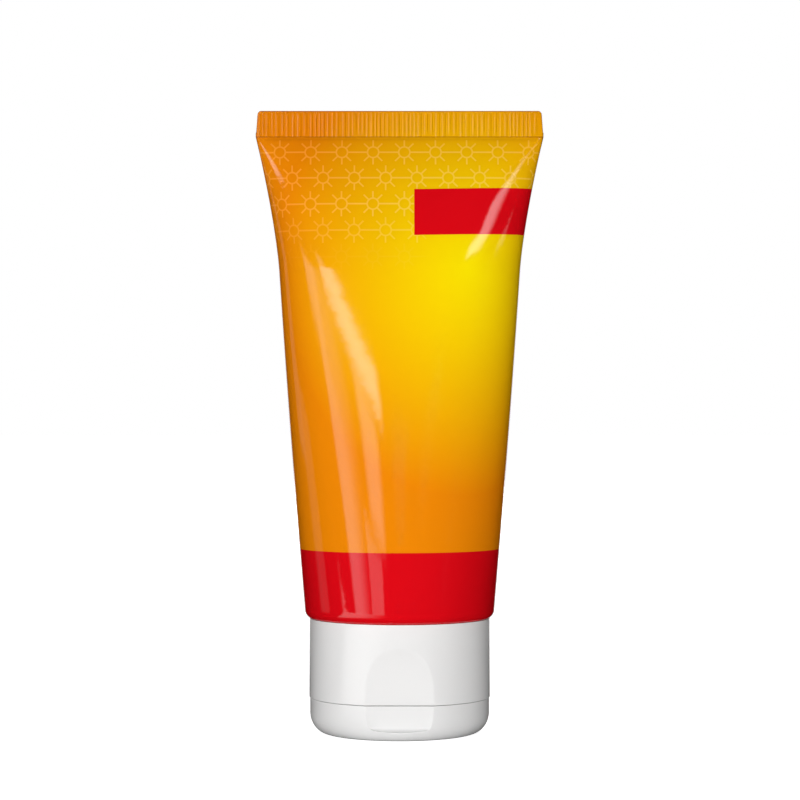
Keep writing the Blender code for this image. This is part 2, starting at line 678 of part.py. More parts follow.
def main():
    clear_scene()
    parts = new_collection("sun_lotion_tube")
    tools = new_collection("cutters")
    print_orange = new_material("printed_film", (0.87, 0.32, 0.01), 0.28)
    head_white = new_material("head_plastic", (0.80, 0.80, 0.78), 0.40)
    lotion_cream = new_material("lotion", (0.86, 0.83, 0.74), 0.30)
    base_white = new_material("base_plastic", (0.84, 0.84, 0.83), 0.34)
    lid_white = new_material("lid_plastic", (0.84, 0.84, 0.83), 0.32)
    film_white = new_material("hinge_plastic", (0.80, 0.80, 0.79), 0.38)

    tube = [(make_sleeve(parts, tools), print_orange), (make_head(parts), head_white),
            (make_lotion(parts), lotion_cream)]
    cap = [(make_base(parts, tools), base_white)]
    cap += [(piece, film_white.copy()) for piece in make_hinge(parts)]
    lid = [(make_lid(parts, tools), lid_white)]

    tube_axis = empty_at("tube_axis", (0.0, 0.0, SHOULDER_Z), parts)
    cap_axis = empty_at("cap_axis", (0.0, 0.0, BASE_Z), parts)
    lid_axis = empty_at("lid_axis", (0.0, HINGE_Y, HINGE_Z), parts)
    hang(cap_axis, tube_axis)
    hang(lid_axis, cap_axis)
    for pieces, axis in ((tube, tube_axis), (cap, cap_axis), (lid, lid_axis)):
        for piece, finish in pieces:
            piece.data.materials.clear()
            piece.data.materials.append(finish)
            if piece.modifiers:
                smooth_by_angle(piece)
            hang(piece, axis)


main()
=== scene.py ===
# %% [markdown]
# # A squeeze tube of sun lotion, dressed and lit
#
# The packed model holds the tube's pieces as plain faceted solids: the printed sleeve, the head
# with the neck, the lotion, the cap with its hinge, and the lid.  This lesson makes a fine surface
# for each of them, with the finish that it has in real life, and lights them as in a small studio.
# All lengths are in metres, and +Z points from the lid, on which the tube stands, to the crimp.

import math
import random

import bmesh
import bpy
import numpy as np
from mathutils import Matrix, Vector, noise


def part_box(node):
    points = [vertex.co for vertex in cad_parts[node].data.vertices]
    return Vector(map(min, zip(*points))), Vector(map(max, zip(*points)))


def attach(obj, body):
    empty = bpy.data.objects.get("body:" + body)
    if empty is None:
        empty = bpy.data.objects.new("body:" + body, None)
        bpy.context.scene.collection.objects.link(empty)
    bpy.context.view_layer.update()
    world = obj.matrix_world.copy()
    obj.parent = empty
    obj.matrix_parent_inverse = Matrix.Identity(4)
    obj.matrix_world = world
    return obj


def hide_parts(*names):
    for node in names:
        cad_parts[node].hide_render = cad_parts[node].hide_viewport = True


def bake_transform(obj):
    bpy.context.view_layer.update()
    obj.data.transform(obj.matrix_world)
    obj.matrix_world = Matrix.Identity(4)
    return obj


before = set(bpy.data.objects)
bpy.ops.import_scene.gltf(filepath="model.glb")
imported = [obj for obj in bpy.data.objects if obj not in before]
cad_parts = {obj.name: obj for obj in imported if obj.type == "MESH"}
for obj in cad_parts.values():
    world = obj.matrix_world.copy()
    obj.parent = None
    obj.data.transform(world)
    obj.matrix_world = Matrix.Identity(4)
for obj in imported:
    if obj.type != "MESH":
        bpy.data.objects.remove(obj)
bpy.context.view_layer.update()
MM = 0.001

# %% [markdown]
# ## The view
#
# The photograph is taken with a long lens, level with the middle of the tube.  The height of the
# lens comes from how the round edges bend: they are straight at the camera's own height.  With the
# height and width of the tube in pixels, that fixes the camera's place and its lens.

# %% Camera
PHOTO_WIDTH = 800
PIXELS_PER_RADIAN = 2590
CAMERA_DISTANCE = 0.477
CAMERA_HEIGHT = 0.0611
CAMERA_SIDEWAYS = 0.00007

camera_data = bpy.data.cameras.new("studio_camera")
camera_data.lens = camera_data.sensor_width * PIXELS_PER_RADIAN / PHOTO_WIDTH
camera_data.clip_start = CAMERA_DISTANCE / 100
camera = bpy.data.objects.new("studio_camera", camera_data)
camera.location = (CAMERA_SIDEWAYS, -CAMERA_DISTANCE, CAMERA_HEIGHT)
camera.rotation_euler = (math.pi / 2, 0.0, 0.0)
bpy.context.scene.collection.objects.link(camera)
bpy.context.scene.camera = camera
bpy.context.scene.view_settings.view_transform = "Standard"
print("lens in mm:", round(camera_data.lens, 1))

# %% [markdown]
# ## Shader maths as plain sums
#
# Most finishes below are small formulas: a ring is where the distance from a centre is near a
# radius.  A `Link` wraps one output socket, so that such a formula can be written as a sum, and
# each operator adds the Math node that it stands for.

# %% A link


class Link:
    """An output socket that takes part in sums."""

    def __init__(self, graph, socket):
        self.graph = graph
        self.socket = socket

    def __add__(self, other):
        return self.graph.calc("ADD", self, other)

    def __radd__(self, other):
        return self.graph.calc("ADD", other, self)

    def __sub__(self, other):
        return self.graph.calc("SUBTRACT", self, other)

    def __rsub__(self, other):
        return self.graph.calc("SUBTRACT", other, self)

    def __mul__(self, other):
        return self.graph.calc("MULTIPLY", self, other)

    def __rmul__(self, other):
        return self.graph.calc("MULTIPLY", other, self)

    def __truediv__(self, other):
        return self.graph.calc("DIVIDE", self, other)

    def __pow__(self, other):
        return self.graph.calc("POWER", self, other)

    def __abs__(self):
        return self.graph.calc("ABSOLUTE", self)

    def __mod__(self, other):
        return self.graph.calc("FLOORED_MODULO", self, other)

    def output(self, key):
        """Another output of the same node."""
        return Link(self.graph, self.socket.node.outputs[key])


print("a link has", len(vars(Link)), "entries")

# %% [markdown]
# Every other node comes from `Graph.node`, which takes the node's type, its settings, and what its
# sockets get.  The helpers under it are the sums and nodes that come back in many finishes.

# %% A graph


class Graph:
    """A node tree that is being filled."""

    def __init__(self, tree):
        self.tree = tree

    def put(self, socket, value):
        """Give an input socket a link or a plain value."""
        if isinstance(value, Link):
            self.tree.links.new(value.socket, socket)
        else:
            socket.default_value = value

    def node(self, kind, settings=None, sockets=None, output=0):
        """Add a node, then its settings, then its sockets, and return one output as a Link."""
        made = self.tree.nodes.new(kind)
        for name, value in (settings or {}).items():
            setattr(made, name, value)
        for key, value in (sockets or {}).items():
            self.put(made.inputs[key], value)
        return Link(self, made.outputs[output])

    def calc(self, operation, *terms):
        return self.node("ShaderNodeMath", {"operation": operation}, dict(enumerate(terms)))

    def smaller(self, first, second):
        return self.calc("MINIMUM", first, second)

    def larger(self, first, second):
        return self.calc("MAXIMUM", first, second)

    def length(self, x, y):
        return self.calc("SQRT", x * x + y * y)

    def ramp(self, value, start, end):
        """0 up to start, 1 from end on, and a soft rise between them."""
        return self.node("ShaderNodeMapRange", {"interpolation_type": "SMOOTHSTEP"},
                         {"Value": value, "From Min": start, "From Max": end})

    def mixed(self, share, first, second):
        """A colour between two colours."""
        return self.node("ShaderNodeMix", {"data_type": "RGBA"},
                         {0: share, 6: first, 7: second}, output=2)

    def parts(self, kind, output, settings=None):
        """The first two numbers of a vector output of a new node."""
        vector = self.node(kind, settings, None, output)
        first = self.node("ShaderNodeSeparateXYZ", None, {0: vector})
        return first, first.output(1)

    def noise(self, kind, vector):
        """A soft random value, from a pair of the noise's scale and detail."""
        return self.node("ShaderNodeTexNoise", None,
                         {"Scale": kind[0], "Detail": kind[1], "Vector": vector})


print("helpers:", [name for name in vars(Graph) if not name.startswith("_")])

# %% A finish
PLASTIC_SPECULAR = 0.5


class Finish(Graph):
    """A material with one Principled BSDF."""

    def __init__(self, name):
        self.material = bpy.data.materials.new(name)
        self.material.use_nodes = True
        super().__init__(self.material.node_tree)
        self.shader = self.tree.nodes["Principled BSDF"]
        self.shader.inputs["Specular IOR Level"].default_value = PLASTIC_SPECULAR

    def set(self, name, value):
        self.put(self.shader.inputs[name], value)

    def place(self):
        """The place in the object's own metres."""
        return self.node("ShaderNodeTexCoord", output="Object")

    def bump(self, height, distance):
        self.set("Normal", self.node("ShaderNodeBump", None,
                                     {"Height": height, "Distance": distance, "Strength": 1.0}))


def rgba(red, green, blue):
    return (red, green, blue, 1.0)


print("helpers of a finish:", [name for name in vars(Finish) if not name.startswith("_")])


# %% [markdown]
# ## The studio
#
# The tube stands on a pale floor in front of a white background.  A weak glow, which only camera
# rays meet, lifts the floor to white, so the light on the tube stays plain and its soft shadow
# still shows.  A glossy tube mirrors all that is round it.  Its mirror rays see the same white
# behind the tube, and a dark floor elsewhere, so that only soft boxes show up in the print.

# %% Rays that show the background
BACKDROP_RISE = (0.90, 0.97)
BLACK = rgba(0.0, 0.0, 0.0)


def background_rays(graph):
    """1 for camera rays, and 1 for mirror and see-through rays."""
    path = graph.node("ShaderNodeLightPath")
    return path.output("Is Camera Ray"), graph.larger(path.output("Is Glossy Ray"),
                                                      path.output("Is Transmission Ray"))


print("the backdrop fills", round(2 * math.degrees(math.acos(BACKDROP_RISE[0]))), "degrees")

# %% [markdown]
# The boxes at the left reach down to the floor, and the lower part of the print mirrors their foot
# there.  The floor hides that foot from mirror rays, so a painted glow on the floor, which only
# mirror rays see, stands in for it: a sheen in the boxes' direction, and a faint one further round.
# A side of 0 is straight ahead of the tube, and 1 is square to its left.

# %% Sheen on the floor
SHEEN_GLOW = 2.0
SHEEN_RISE = (0.04, 0.075)
SHEEN_SIDE_RISE = (0.20, 0.80)
SHEEN_SIDE_FALL = (0.925, 0.950)
FAINT_GLOW = 0.3
FAINT_RISE = (0.15, 0.25)
FAINT_SIDE_RISE = (0.95, 0.98)


# Painted reflection: a glow on the floor, seen only by mirror rays, in place of the boxes' foot.
def painted_floor_glow(finish, across, depth, away):
    side = 0 - across / (away + MM)
    sheen = finish.ramp(side, *SHEEN_SIDE_RISE) * (1 - finish.ramp(side, *SHEEN_SIDE_FALL))
    sheen = sheen * finish.calc("LESS_THAN", depth, 0.0) * finish.ramp(away, *SHEEN_RISE)
    faint = finish.ramp(side, *FAINT_SIDE_RISE) * finish.calc("GREATER_THAN", depth, 0.0)
    faint = faint * finish.ramp(away, *FAINT_RISE)
    return sheen * SHEEN_GLOW + faint * FAINT_GLOW


print("the sheen starts", round(SHEEN_RISE[0] / MM), "mm from the middle")

# %% Floor
FLOOR_RADIUS = 4.0
FLOOR_COLOR = rgba(0.80, 0.80, 0.80)
FLOOR_GLOW = 0.90
FAR_FLOOR_GLOW = 1.0
FAR_FLOOR_RISE = (0.12, 0.60)


def make_floor():
    bpy.ops.mesh.primitive_circle_add(vertices=96, radius=FLOOR_RADIUS, fill_type="NGON")
    floor = bpy.context.object
    floor.name = "studio_floor"
    finish = Finish("pale_floor")
    camera_ray, mirror_ray = background_rays(finish)
    across, depth = finish.parts("ShaderNodeTexCoord", "Object")
    away = finish.length(across, depth)
    behind = finish.ramp(depth / (away + MM), *BACKDROP_RISE)
    glow = FLOOR_GLOW + (FAR_FLOOR_GLOW - FLOOR_GLOW) * finish.ramp(away, *FAR_FLOOR_RISE)
    glow = glow * finish.larger(camera_ray, mirror_ray * behind)
    # Mirror rays also meet the painted glow that stands in for the boxes' foot.
    glow = glow + mirror_ray * painted_floor_glow(finish, across, depth, away)
    color = finish.mixed(mirror_ray * (1 - behind), FLOOR_COLOR, BLACK)
    diffuse = finish.node("ShaderNodeBsdfDiffuse", None, {"Color": color})
    glowing = finish.node("ShaderNodeEmission", None, {"Strength": glow})
    both = finish.node("ShaderNodeAddShader", None, {0: diffuse, 1: glowing})
    finish.put(finish.tree.nodes["Material Output"].inputs["Surface"], both)
    floor.data.materials.append(finish.material)
    print("floor nodes:", len(finish.tree.nodes))


make_floor()

# %% Room
ROOM_DIM = 0.004
AMBIENT = 0.01


def make_room():
    world = bpy.data.worlds.new("studio_room")
    world.use_nodes = True
    room = Graph(world.node_tree)
    camera_ray, mirror_ray = background_rays(room)
    depth = room.parts("ShaderNodeTexCoord", "Generated")[1]
    backdrop = room.ramp(depth, *BACKDROP_RISE)
    mirrored = room.node("ShaderNodeMix", None, {0: backdrop, 2: ROOM_DIM, 3: 1.0})
    strength = room.node("ShaderNodeMix", None, {0: mirror_ray, 2: AMBIENT, 3: mirrored})
    strength = room.node("ShaderNodeMix", None, {0: camera_ray, 2: strength, 3: 1.0})
    shader = room.tree.nodes["Background"]
    room.put(shader.inputs["Strength"], strength)
    shader.inputs["Color"].default_value = rgba(1.0, 1.0, 1.0)
    world.cycles.sampling_method = "NONE"
    bpy.context.scene.world = world
    print("room nodes:", len(room.tree.nodes))


make_room()

# %% [markdown]
# ## Soft boxes
#
# Each streak on the print is the mirror image of a soft box, so the boxes stand where a mirror at
# the streak would look.  The light of a real soft box fades towards the edges of its cloth, and so
# do the streaks, so each box gets a soft edge from its own coordinates, which run from 0 to 1.

# %% A soft box
LAMP_DISTANCE = 1.0
AIM_HEIGHT = 0.055


def soft_box(name, azimuth, elevation, wide, high, radiance, roll=0, fades=None, mirrored=True):
    """A lamp that covers wide by high degrees, seen from the tube, around a direction.

    An azimuth of 0 is the camera's side, and it grows to the right.  fades gives the degrees over
    which the light fades out at its left, right, lower and upper side.  Mirrored lamps show up in
    the gloss alone, and the others light the tube alone.
    """
    lamp = bpy.data.lights.new(name, "AREA")
    lamp.shape = "RECTANGLE"
    lamp.size = 2 * LAMP_DISTANCE * math.tan(math.radians(wide) / 2)
    lamp.size_y = 2 * LAMP_DISTANCE * math.tan(math.radians(high) / 2)
    lamp.energy = radiance * math.pi * lamp.size * lamp.size_y
    if fades:
        lamp.use_nodes = True
        graph = Graph(lamp.node_tree)
        across, up = graph.parts("ShaderNodeNewGeometry", "Parametric")
        left, right, lower, upper = fades
        share = graph.ramp(across * wide, 0.0, left) * graph.ramp((1 - across) * wide, 0.0, right)
        share = share * graph.ramp(up * high, 0.0, lower) * graph.ramp((1 - up) * high, 0.0, upper)
        graph.put(graph.tree.nodes["Emission"].inputs["Strength"], share)
    obj = bpy.data.objects.new(name, lamp)
    turn, rise = math.radians(azimuth), math.radians(elevation)
    away = Vector((math.sin(turn) * math.cos(rise), -math.cos(turn) * math.cos(rise),
                   math.sin(rise)))
    obj.location = Vector((0.0, 0.0, AIM_HEIGHT)) + LAMP_DISTANCE * away
    obj.rotation_euler = away.to_track_quat("Z", "Y").to_euler()
    obj.rotation_euler.rotate_axis("Z", math.radians(roll))
    obj.visible_glossy = mirrored
    obj.visible_diffuse = not mirrored
    obj.visible_camera = False
    bpy.context.scene.collection.objects.link(obj)


print("a lamp stands", LAMP_DISTANCE, "m from the tube")

# %% [markdown]
# The even light comes from small lamps that no mirror sees, spread out round the camera and behind
# the tube.  A single large lamp would give the same light, but it leaves a veil in the gloss.

# %% Even light
SMALL_LAMP = 6
EVEN_LIGHT = 160.0
EVEN_LIGHT_SHARES = ((-50, 0.13), (-20, 0.22), (0, 0.345), (18, 0.165), (50, 0.03))
EVEN_LIGHT_RISES = (2, 11)
BACK_LIGHT = 35.0
BACK_LIGHT_SHARES = ((168, 1.0), (180, 1.0), (192, 1.0))
BACK_LIGHT_RISES = (8, 32)
for kind, radiance, shares, rises in (
        ("even_light", EVEN_LIGHT, EVEN_LIGHT_SHARES, EVEN_LIGHT_RISES),
        ("back_light", BACK_LIGHT, BACK_LIGHT_SHARES, BACK_LIGHT_RISES)):
    for azimuth, share in shares:
        for rise in rises:
            soft_box("%s_%d_%d" % (kind, azimuth, rise), azimuth, rise, SMALL_LAMP, SMALL_LAMP,
                     radiance * share, mirrored=False)
print("lamps for the even light:", len(bpy.data.lights))

# %% [markdown]
# The boxes at the left make the two broad streaks down the print and their bright upper ends.  One
# further round draws a line along the left side, and the slanted ones make the short streaks under
# the crimp.  Each row has azimuth, elevation, width, height, radiance, roll and fades.

# %% Boxes in the print
SOFT_BOXES = {
    "left_far_box": (-43, -2.75, 24, 22.5, 2.0, 0, (4, 15, 0.1, 2)),
    "left_far_top": (-45, 9.6, 34, 6.2, 1.0, 0, (4, 15, 2, 3)),
    "left_far_glow": (-53.5, 9.6, 17, 6.2, 0.9, 0, (4, 6, 2, 3)),
    "left_low_box": (-25, -3.5, 16, 21, 1.4, 0, (2, 1.5, 0.1, 1)),
    "left_box": (-19.5, 9.75, 16, 6.5, 2.0, 0, (5, 5, 1.5, 1)),
    "left_band": (-24.5, 13.8, 34, 3.2, 5.0, 2.9, (4, 4, 1.2, 1.1)),
    "left_band_end": (-38, 15.7, 9, 4.6, 1.9, 0, (3, 4, 2, 2.5)),
    "left_back_box": (-109, 2, 12, 40, 0.35, 0, None),
    "left_slant_strip": (-53.5, 21.8, 17, 3.2, 4.2, 33, (5, 6, 1, 1)),
    "right_slant_strip": (38.2, 26.2, 15.4, 14.6, 5.0, 0, (3, 9, 3, 4)),
    "right_slant_foot": (28.2, 23, 9.4, 5.6, 4.7, 0, (4, 3, 1.5, 2)),
    "right_thin_strip": (62.5, 11.3, 16, 2.2, 1.3, -11.5, (5, 5, 0.8, 0.8)),
}
for name, values in SOFT_BOXES.items():
    soft_box(name, *values)
print("lamps in all:", len(bpy.data.lights))

# %% [markdown]
# ## Skins from rows of points
#
# All the pieces of this tube but its hinge are closed skins: a row of points goes once round, and
# the rows are joined to their neighbours.  A skin is closed at its ends by a fan to the middle of
# the row, or its last row joins its first, as on a ring.  On a printed skin, the faces behind the
# seam run past the sheet's end, so that the print doesn't run backwards through them.

# %% Skin helper


def skin_mesh(name, rows, joined=False, prints=None):
    """A mesh from rows of points that each go once round.

    joined closes the last row on the first.  Otherwise a fan closes each end.  prints gives each
    point its place on the printed sheet, as the UV map "print".
    """
    rows = np.asarray(rows, float)
    count, around = rows.shape[:2]
    points = [tuple(point) for point in rows.reshape(-1, 3)]
    faces = []
    for k in range(count if joined else count - 1):
        low, high = k * around, (k + 1) % count * around
        for i in range(around):
            j = (i + 1) % around
            faces.append((low + i, low + j, high + j, high + i))
    if not joined:
        for k, flip in ((0, True), (count - 1, False)):
            points.append(tuple(rows[k].mean(axis=0)))
            centre, first = len(points) - 1, k * around
            for i in range(around):
                pair = (first + i, first + (i + 1) % around)
                faces.append((centre, *(reversed(pair) if flip else pair)))
    mesh = bpy.data.meshes.new(name)
    mesh.from_pydata(points, [], faces)
    if prints is not None:
        flat = np.asarray(prints, float).reshape(-1, 2)
        span = flat[:, 0].max() - flat[:, 0].min()
        layer = mesh.uv_layers.new(name="print")
        for face in mesh.polygons:
            places = flat[np.minimum(tuple(face.vertices), len(flat) - 1)]
            if np.ptp(places[:, 0]) > span / 2:
                places[places[:, 0] < 0, 0] += span + span / around
            for loop, place in zip(face.loop_indices, places):
                layer.data[loop].uv = place
    print(name, "points:", len(points))
    return mesh


# %% [markdown] One or more skins make a piece. A piece that bends is not carried by one body.

# %% Pieces from skins


def finished_object(name, skins, finish, body, node):
    """Join skins into a piece: outward faces, smooth shading, its finish and its body."""
    bm = bmesh.new()
    for skin in skins:
        bm.from_mesh(skin)
    bmesh.ops.recalc_face_normals(bm, faces=bm.faces)
    mesh = bpy.data.meshes.new(name)
    bm.to_mesh(mesh)
    bm.free()
    mesh.shade_smooth()
    mesh.materials.append(finish.material)
    obj = bpy.data.objects.new(name, mesh)
    bpy.context.scene.collection.objects.link(obj)
    if body:
        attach(obj, body)
    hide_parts(node)
    print(name, "faces:", len(mesh.polygons))
    return obj


# %% [markdown]
# ## The sleeve
#
# The sleeve is one sheet, rolled to a tube and welded flat at the top.  Its girth hardly changes
# from the round shoulder to the crimp, so each section keeps that girth: as it gets wider, it gets
# flatter, and its ends get rounder than an ellipse's.  The section is sampled finely, its depth is
# found by halving an interval until the girth is right, and the points are set at equal steps
# along it, as a print on the sheet would be.

# %% Sizes of the sleeve
sleeve_low, sleeve_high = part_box("tube_sleeve")
SLEEVE_RADIUS = 17.5 * MM
SLEEVE_WALL = 0.5 * MM
SLEEVE_HEIGHT = 88.6 * MM
SHOULDER_ROUND = 1.8 * MM
SHOULDER_Z = sleeve_low.z
ROUND_TOP_Z = SHOULDER_Z + SHOULDER_ROUND
CRIMP_FOOT_Z = SHOULDER_Z + SLEEVE_HEIGHT
SEAL_HEIGHT = 1.6 * MM
CAVITY_TOP_Z = CRIMP_FOOT_Z - SEAL_HEIGHT
CRIMP_HALF_WIDTH = (sleeve_high.x - sleeve_low.x) / 2
CRIMP_HALF_DEPTH = 0.5 * MM
SPREAD_SHARE = 0.73
SWELL_SHARE = 0.02
FLARE_SHARE = 0.27
FLARE_START_SHARE = 0.72
FLARE_POWER = 1.6
ROUNDNESS_TOP_SHARE = 0.2
AROUND = 240
print("sleeve from", round(SHOULDER_Z / MM, 2), "to", round(sleeve_high.z / MM, 2), "mm")

# %% Half a section
SECTION_POINTS = 400
SLANTS = np.linspace(-math.pi / 2, math.pi / 2, SECTION_POINTS)


def front_half(half_width, half_depth, roundness):
    """The front half of a section, from its left end to its right end."""
    across = np.sin(SLANTS)
    size = np.abs(across)
    x = (half_width - half_depth) * across
    x += half_depth * np.sign(across) * size ** (1 / roundness)
    y = -half_depth * np.sqrt(np.maximum(1 - size ** (2 / roundness), 0.0))
    return x, y


def half_girth(half_width, half_depth, roundness):
    x, y = front_half(half_width, half_depth, roundness)
    return np.hypot(np.diff(x), np.diff(y)).sum()


CRIMP_HALF_GIRTH = half_girth(CRIMP_HALF_WIDTH, CRIMP_HALF_DEPTH, ROUNDNESS_TOP_SHARE)
print("half the girth in mm, at the crimp and at the round end:",
      round(CRIMP_HALF_GIRTH / MM, 1), round(math.pi * SLEEVE_RADIUS / MM, 1))

# %% Sections of the sleeve
HALVINGS = 26


def sleeve_sizes(height):
    """Half width, half depth and roundness of the sleeve at a height."""
    share = (height - ROUND_TOP_Z) / (CRIMP_FOOT_Z - ROUND_TOP_Z)
    along = min(share / FLARE_START_SHARE, 1.0)
    above = max(share - FLARE_START_SHARE, 0.0) / (1 - FLARE_START_SHARE)
    spread = (SPREAD_SHARE * share + SWELL_SHARE * 4 * along * (1 - along)
              + FLARE_SHARE * above ** FLARE_POWER)
    half_width = SLEEVE_RADIUS + (CRIMP_HALF_WIDTH - SLEEVE_RADIUS) * spread
    roundness = 1 - (1 - ROUNDNESS_TOP_SHARE) * share
    wanted = math.pi * SLEEVE_RADIUS * (1 - share) + CRIMP_HALF_GIRTH * share
    low, high = 0.0, SLEEVE_RADIUS + SLEEVE_WALL
    for _ in range(HALVINGS):
        middle = (low + high) / 2
        if half_girth(half_width, middle, roundness) < wanted:
            low = middle
        else:
            high = middle
    return half_width, (low + high) / 2, roundness


def sleeve_row(height, inset=0.0, around=AROUND):
    """A row round the sleeve from the middle of its front, and how far each point is along it."""
    half_width, half_depth, roundness = sleeve_sizes(height)
    x, y = front_half(half_width - inset, half_depth - inset, roundness)
    along = np.concatenate(([0.0], np.cumsum(np.hypot(np.diff(x), np.diff(y)))))
    half = along[-1]
    places = 2 * half * (np.arange(around) / around)
    places = np.where(places > half, places - 2 * half, places)
    near = np.where(np.abs(places) > half / 2, half - np.abs(places), np.abs(places))
    front_x = np.interp(half / 2 + near, along, x)
    front_y = np.interp(half / 2 + near, along, y)
    back = np.abs(places) > half / 2
    points = np.stack([np.copysign(front_x, places), np.where(back, -front_y, front_y),
                       np.full(around, height)], axis=1)
    return points, places


def round_row(radius, height, around=AROUND):
    turn = math.tau * np.arange(around) / around
    x, y = radius * np.sin(turn), -radius * np.cos(turn)
    return np.stack([x, y, np.full(around, height)], axis=1)


check_row = sleeve_row((ROUND_TOP_Z + CRIMP_FOOT_Z) / 2)[0]
print("half way up, width and depth in mm:", np.round(np.ptp(check_row, axis=0)[:2] / MM, 2))

# %% [markdown]
# Right under the weld the sheet is slightly puckered, because the jaws pull it in.  The ripples
# are only a few hundredths of a millimetre high and fade within a few millimetres.

# %% Sleeve skin
SLEEVE_ROWS = 150
CAVITY_ROWS = 40
ROUND_STEPS = 9
PUCKER_HEIGHT = 0.05 * MM
PUCKER_REACH = 3.2 * MM
PUCKER_WIDTH = 3.4 * MM
SLEEVE_IN_CRIMP = 0.8 * MM


def puckered(points):
    """Push the points near the crimp in and out a little."""
    moved = points.copy()
    for i, (x, y, z) in enumerate(points):
        fade = max(0.0, 1 - (CRIMP_FOOT_Z - z) / PUCKER_REACH)
        side = math.copysign(1.0, y)
        ripple = noise.noise(Vector((x / PUCKER_WIDTH, 7.0 * side, z / (4 * PUCKER_WIDTH))))
        edge = min(1.0, (CRIMP_HALF_WIDTH - abs(x)) / PUCKER_WIDTH)
        moved[i, 1] += side * PUCKER_HEIGHT * ripple * fade * fade * max(edge, 0.0)
    return moved


def curl(radius_from, radius, steps):
    """A quarter turn from the wall, straight out, to the shoulder, straight down."""
    turns = np.linspace(0, math.pi / 2, steps)
    return [(radius_from + radius * math.cos(t), ROUND_TOP_Z - radius * math.sin(t)) for t in turns]


def make_sleeve_mesh():
    rows, prints = [], []
    round_places = SLEEVE_RADIUS * math.tau * np.arange(AROUND) / AROUND
    round_places = np.where(round_places > math.pi * SLEEVE_RADIUS,
                            round_places - math.tau * SLEEVE_RADIUS, round_places)

    def add(points, places):
        rows.append(points)
        prints.append(np.stack([places, points[:, 2]], axis=1))

    for height in np.linspace(CAVITY_TOP_Z, ROUND_TOP_Z, CAVITY_ROWS):
        add(*sleeve_row(height, SLEEVE_WALL))
    centre = SLEEVE_RADIUS - SHOULDER_ROUND
    for radius, height in curl(centre, SHOULDER_ROUND - SLEEVE_WALL, ROUND_STEPS)[1:]:
        add(round_row(radius, height), round_places)
    for radius, height in reversed(curl(centre, SHOULDER_ROUND, ROUND_STEPS)[1:]):
        add(round_row(radius, height), round_places)
    for height in np.linspace(ROUND_TOP_Z, CRIMP_FOOT_Z, SLEEVE_ROWS):
        points, places = sleeve_row(height)
        add(puckered(points), places)
    last = rows[-1].copy()
    last[:, 2] += SLEEVE_IN_CRIMP
    add(last, prints[-1][:, 0])
    return skin_mesh("sleeve", rows, prints=prints)


sleeve_mesh = make_sleeve_mesh()

# %% [markdown]
# ## The crimp
#
# The weld is pressed between heated jaws with upright grooves, so the flat end has ribs of uneven
# width and height.  Each rib gets a random pitch, width and height, and about a third of them end
# short of the foot.

# %% Ribs of the crimp
CRIMP_SEED = 4
RIB_FIRST = 0.5 * MM
RIB_LAST = 1.0 * MM
RIB_PITCH = 0.95 * MM
RIB_PITCH_RANGE = (0.62, 1.3)
RIB_WIDTH_RANGE = (0.45, 0.7)
RIB_HEIGHT = 0.13 * MM
RIB_HEIGHT_RANGE = (0.45, 1.0)
RIB_SLOPE = 0.16 * MM
SHORT_RIB = 0.7


def rib_edges():
    """The ribs from left to right, as (start, end, height, random value)."""
    draw = random.Random(CRIMP_SEED)
    ribs, place = [], -CRIMP_HALF_WIDTH + RIB_FIRST
    while place < CRIMP_HALF_WIDTH - RIB_LAST:
        pitch = RIB_PITCH * draw.uniform(*RIB_PITCH_RANGE)
        width = pitch * draw.uniform(*RIB_WIDTH_RANGE)
        rise = RIB_HEIGHT * draw.uniform(*RIB_HEIGHT_RANGE)
        ribs.append((place, place + width, rise, draw.random()))
        place += pitch
    return ribs


def rib_profile(places):
    """The ribs' height at each place along the crimp, and the random value of the rib there."""
    height = np.zeros(len(places))
    kind = np.zeros(len(places))
    for start, end, rise, value in rib_edges():
        inside = np.clip((places - start) / RIB_SLOPE, 0, 1)
        inside = inside * np.clip((end - places) / RIB_SLOPE, 0, 1)
        inside = inside * inside * (3 - 2 * inside)
        height = np.maximum(height, rise * inside)
        kind = np.where(inside > 0, value, kind)
    return height, kind


print("ribs:", len(rib_edges()))

# %% [markdown]
# The crimp's skin has rows that go round its thickness: up the front, over the cut edge, down the
# back and under.  The rows follow each other from the left end to the right end.  The columns near
# both ends lean with the slanted sides and follow the rounded corners.

# %% Crimp skin
CRIMP_TOP_Z = sleeve_high.z
CRIMP_TOP_HALF_WIDTH = 26.15 * MM
CRIMP_CORNER = 0.6 * MM
CRIMP_FACE = 0.56 * MM
CRIMP_EDGE_SHARE = 0.6
CRIMP_EDGE = 0.05 * MM
CRIMP_COLUMNS = 760
LEANING_END = 1.2 * MM
FACE_ROWS = 16
RIB_LOW_FADE = 0.3
RIB_TOP_FADE = 0.12
END_TAPER = 0.35 * MM
END_THINNEST = 0.05
SHARP = 0.015 * MM


def crimp_half_width(height):
    up = (height - CRIMP_FOOT_Z) / (CRIMP_TOP_Z - CRIMP_FOOT_Z)
    wide = CRIMP_HALF_WIDTH + (CRIMP_TOP_HALF_WIDTH - CRIMP_HALF_WIDTH) * up
    over = np.maximum(height - (CRIMP_TOP_Z - CRIMP_CORNER), 0.0)
    return wide - CRIMP_CORNER + np.sqrt(np.maximum(CRIMP_CORNER ** 2 - over ** 2, 0.0))


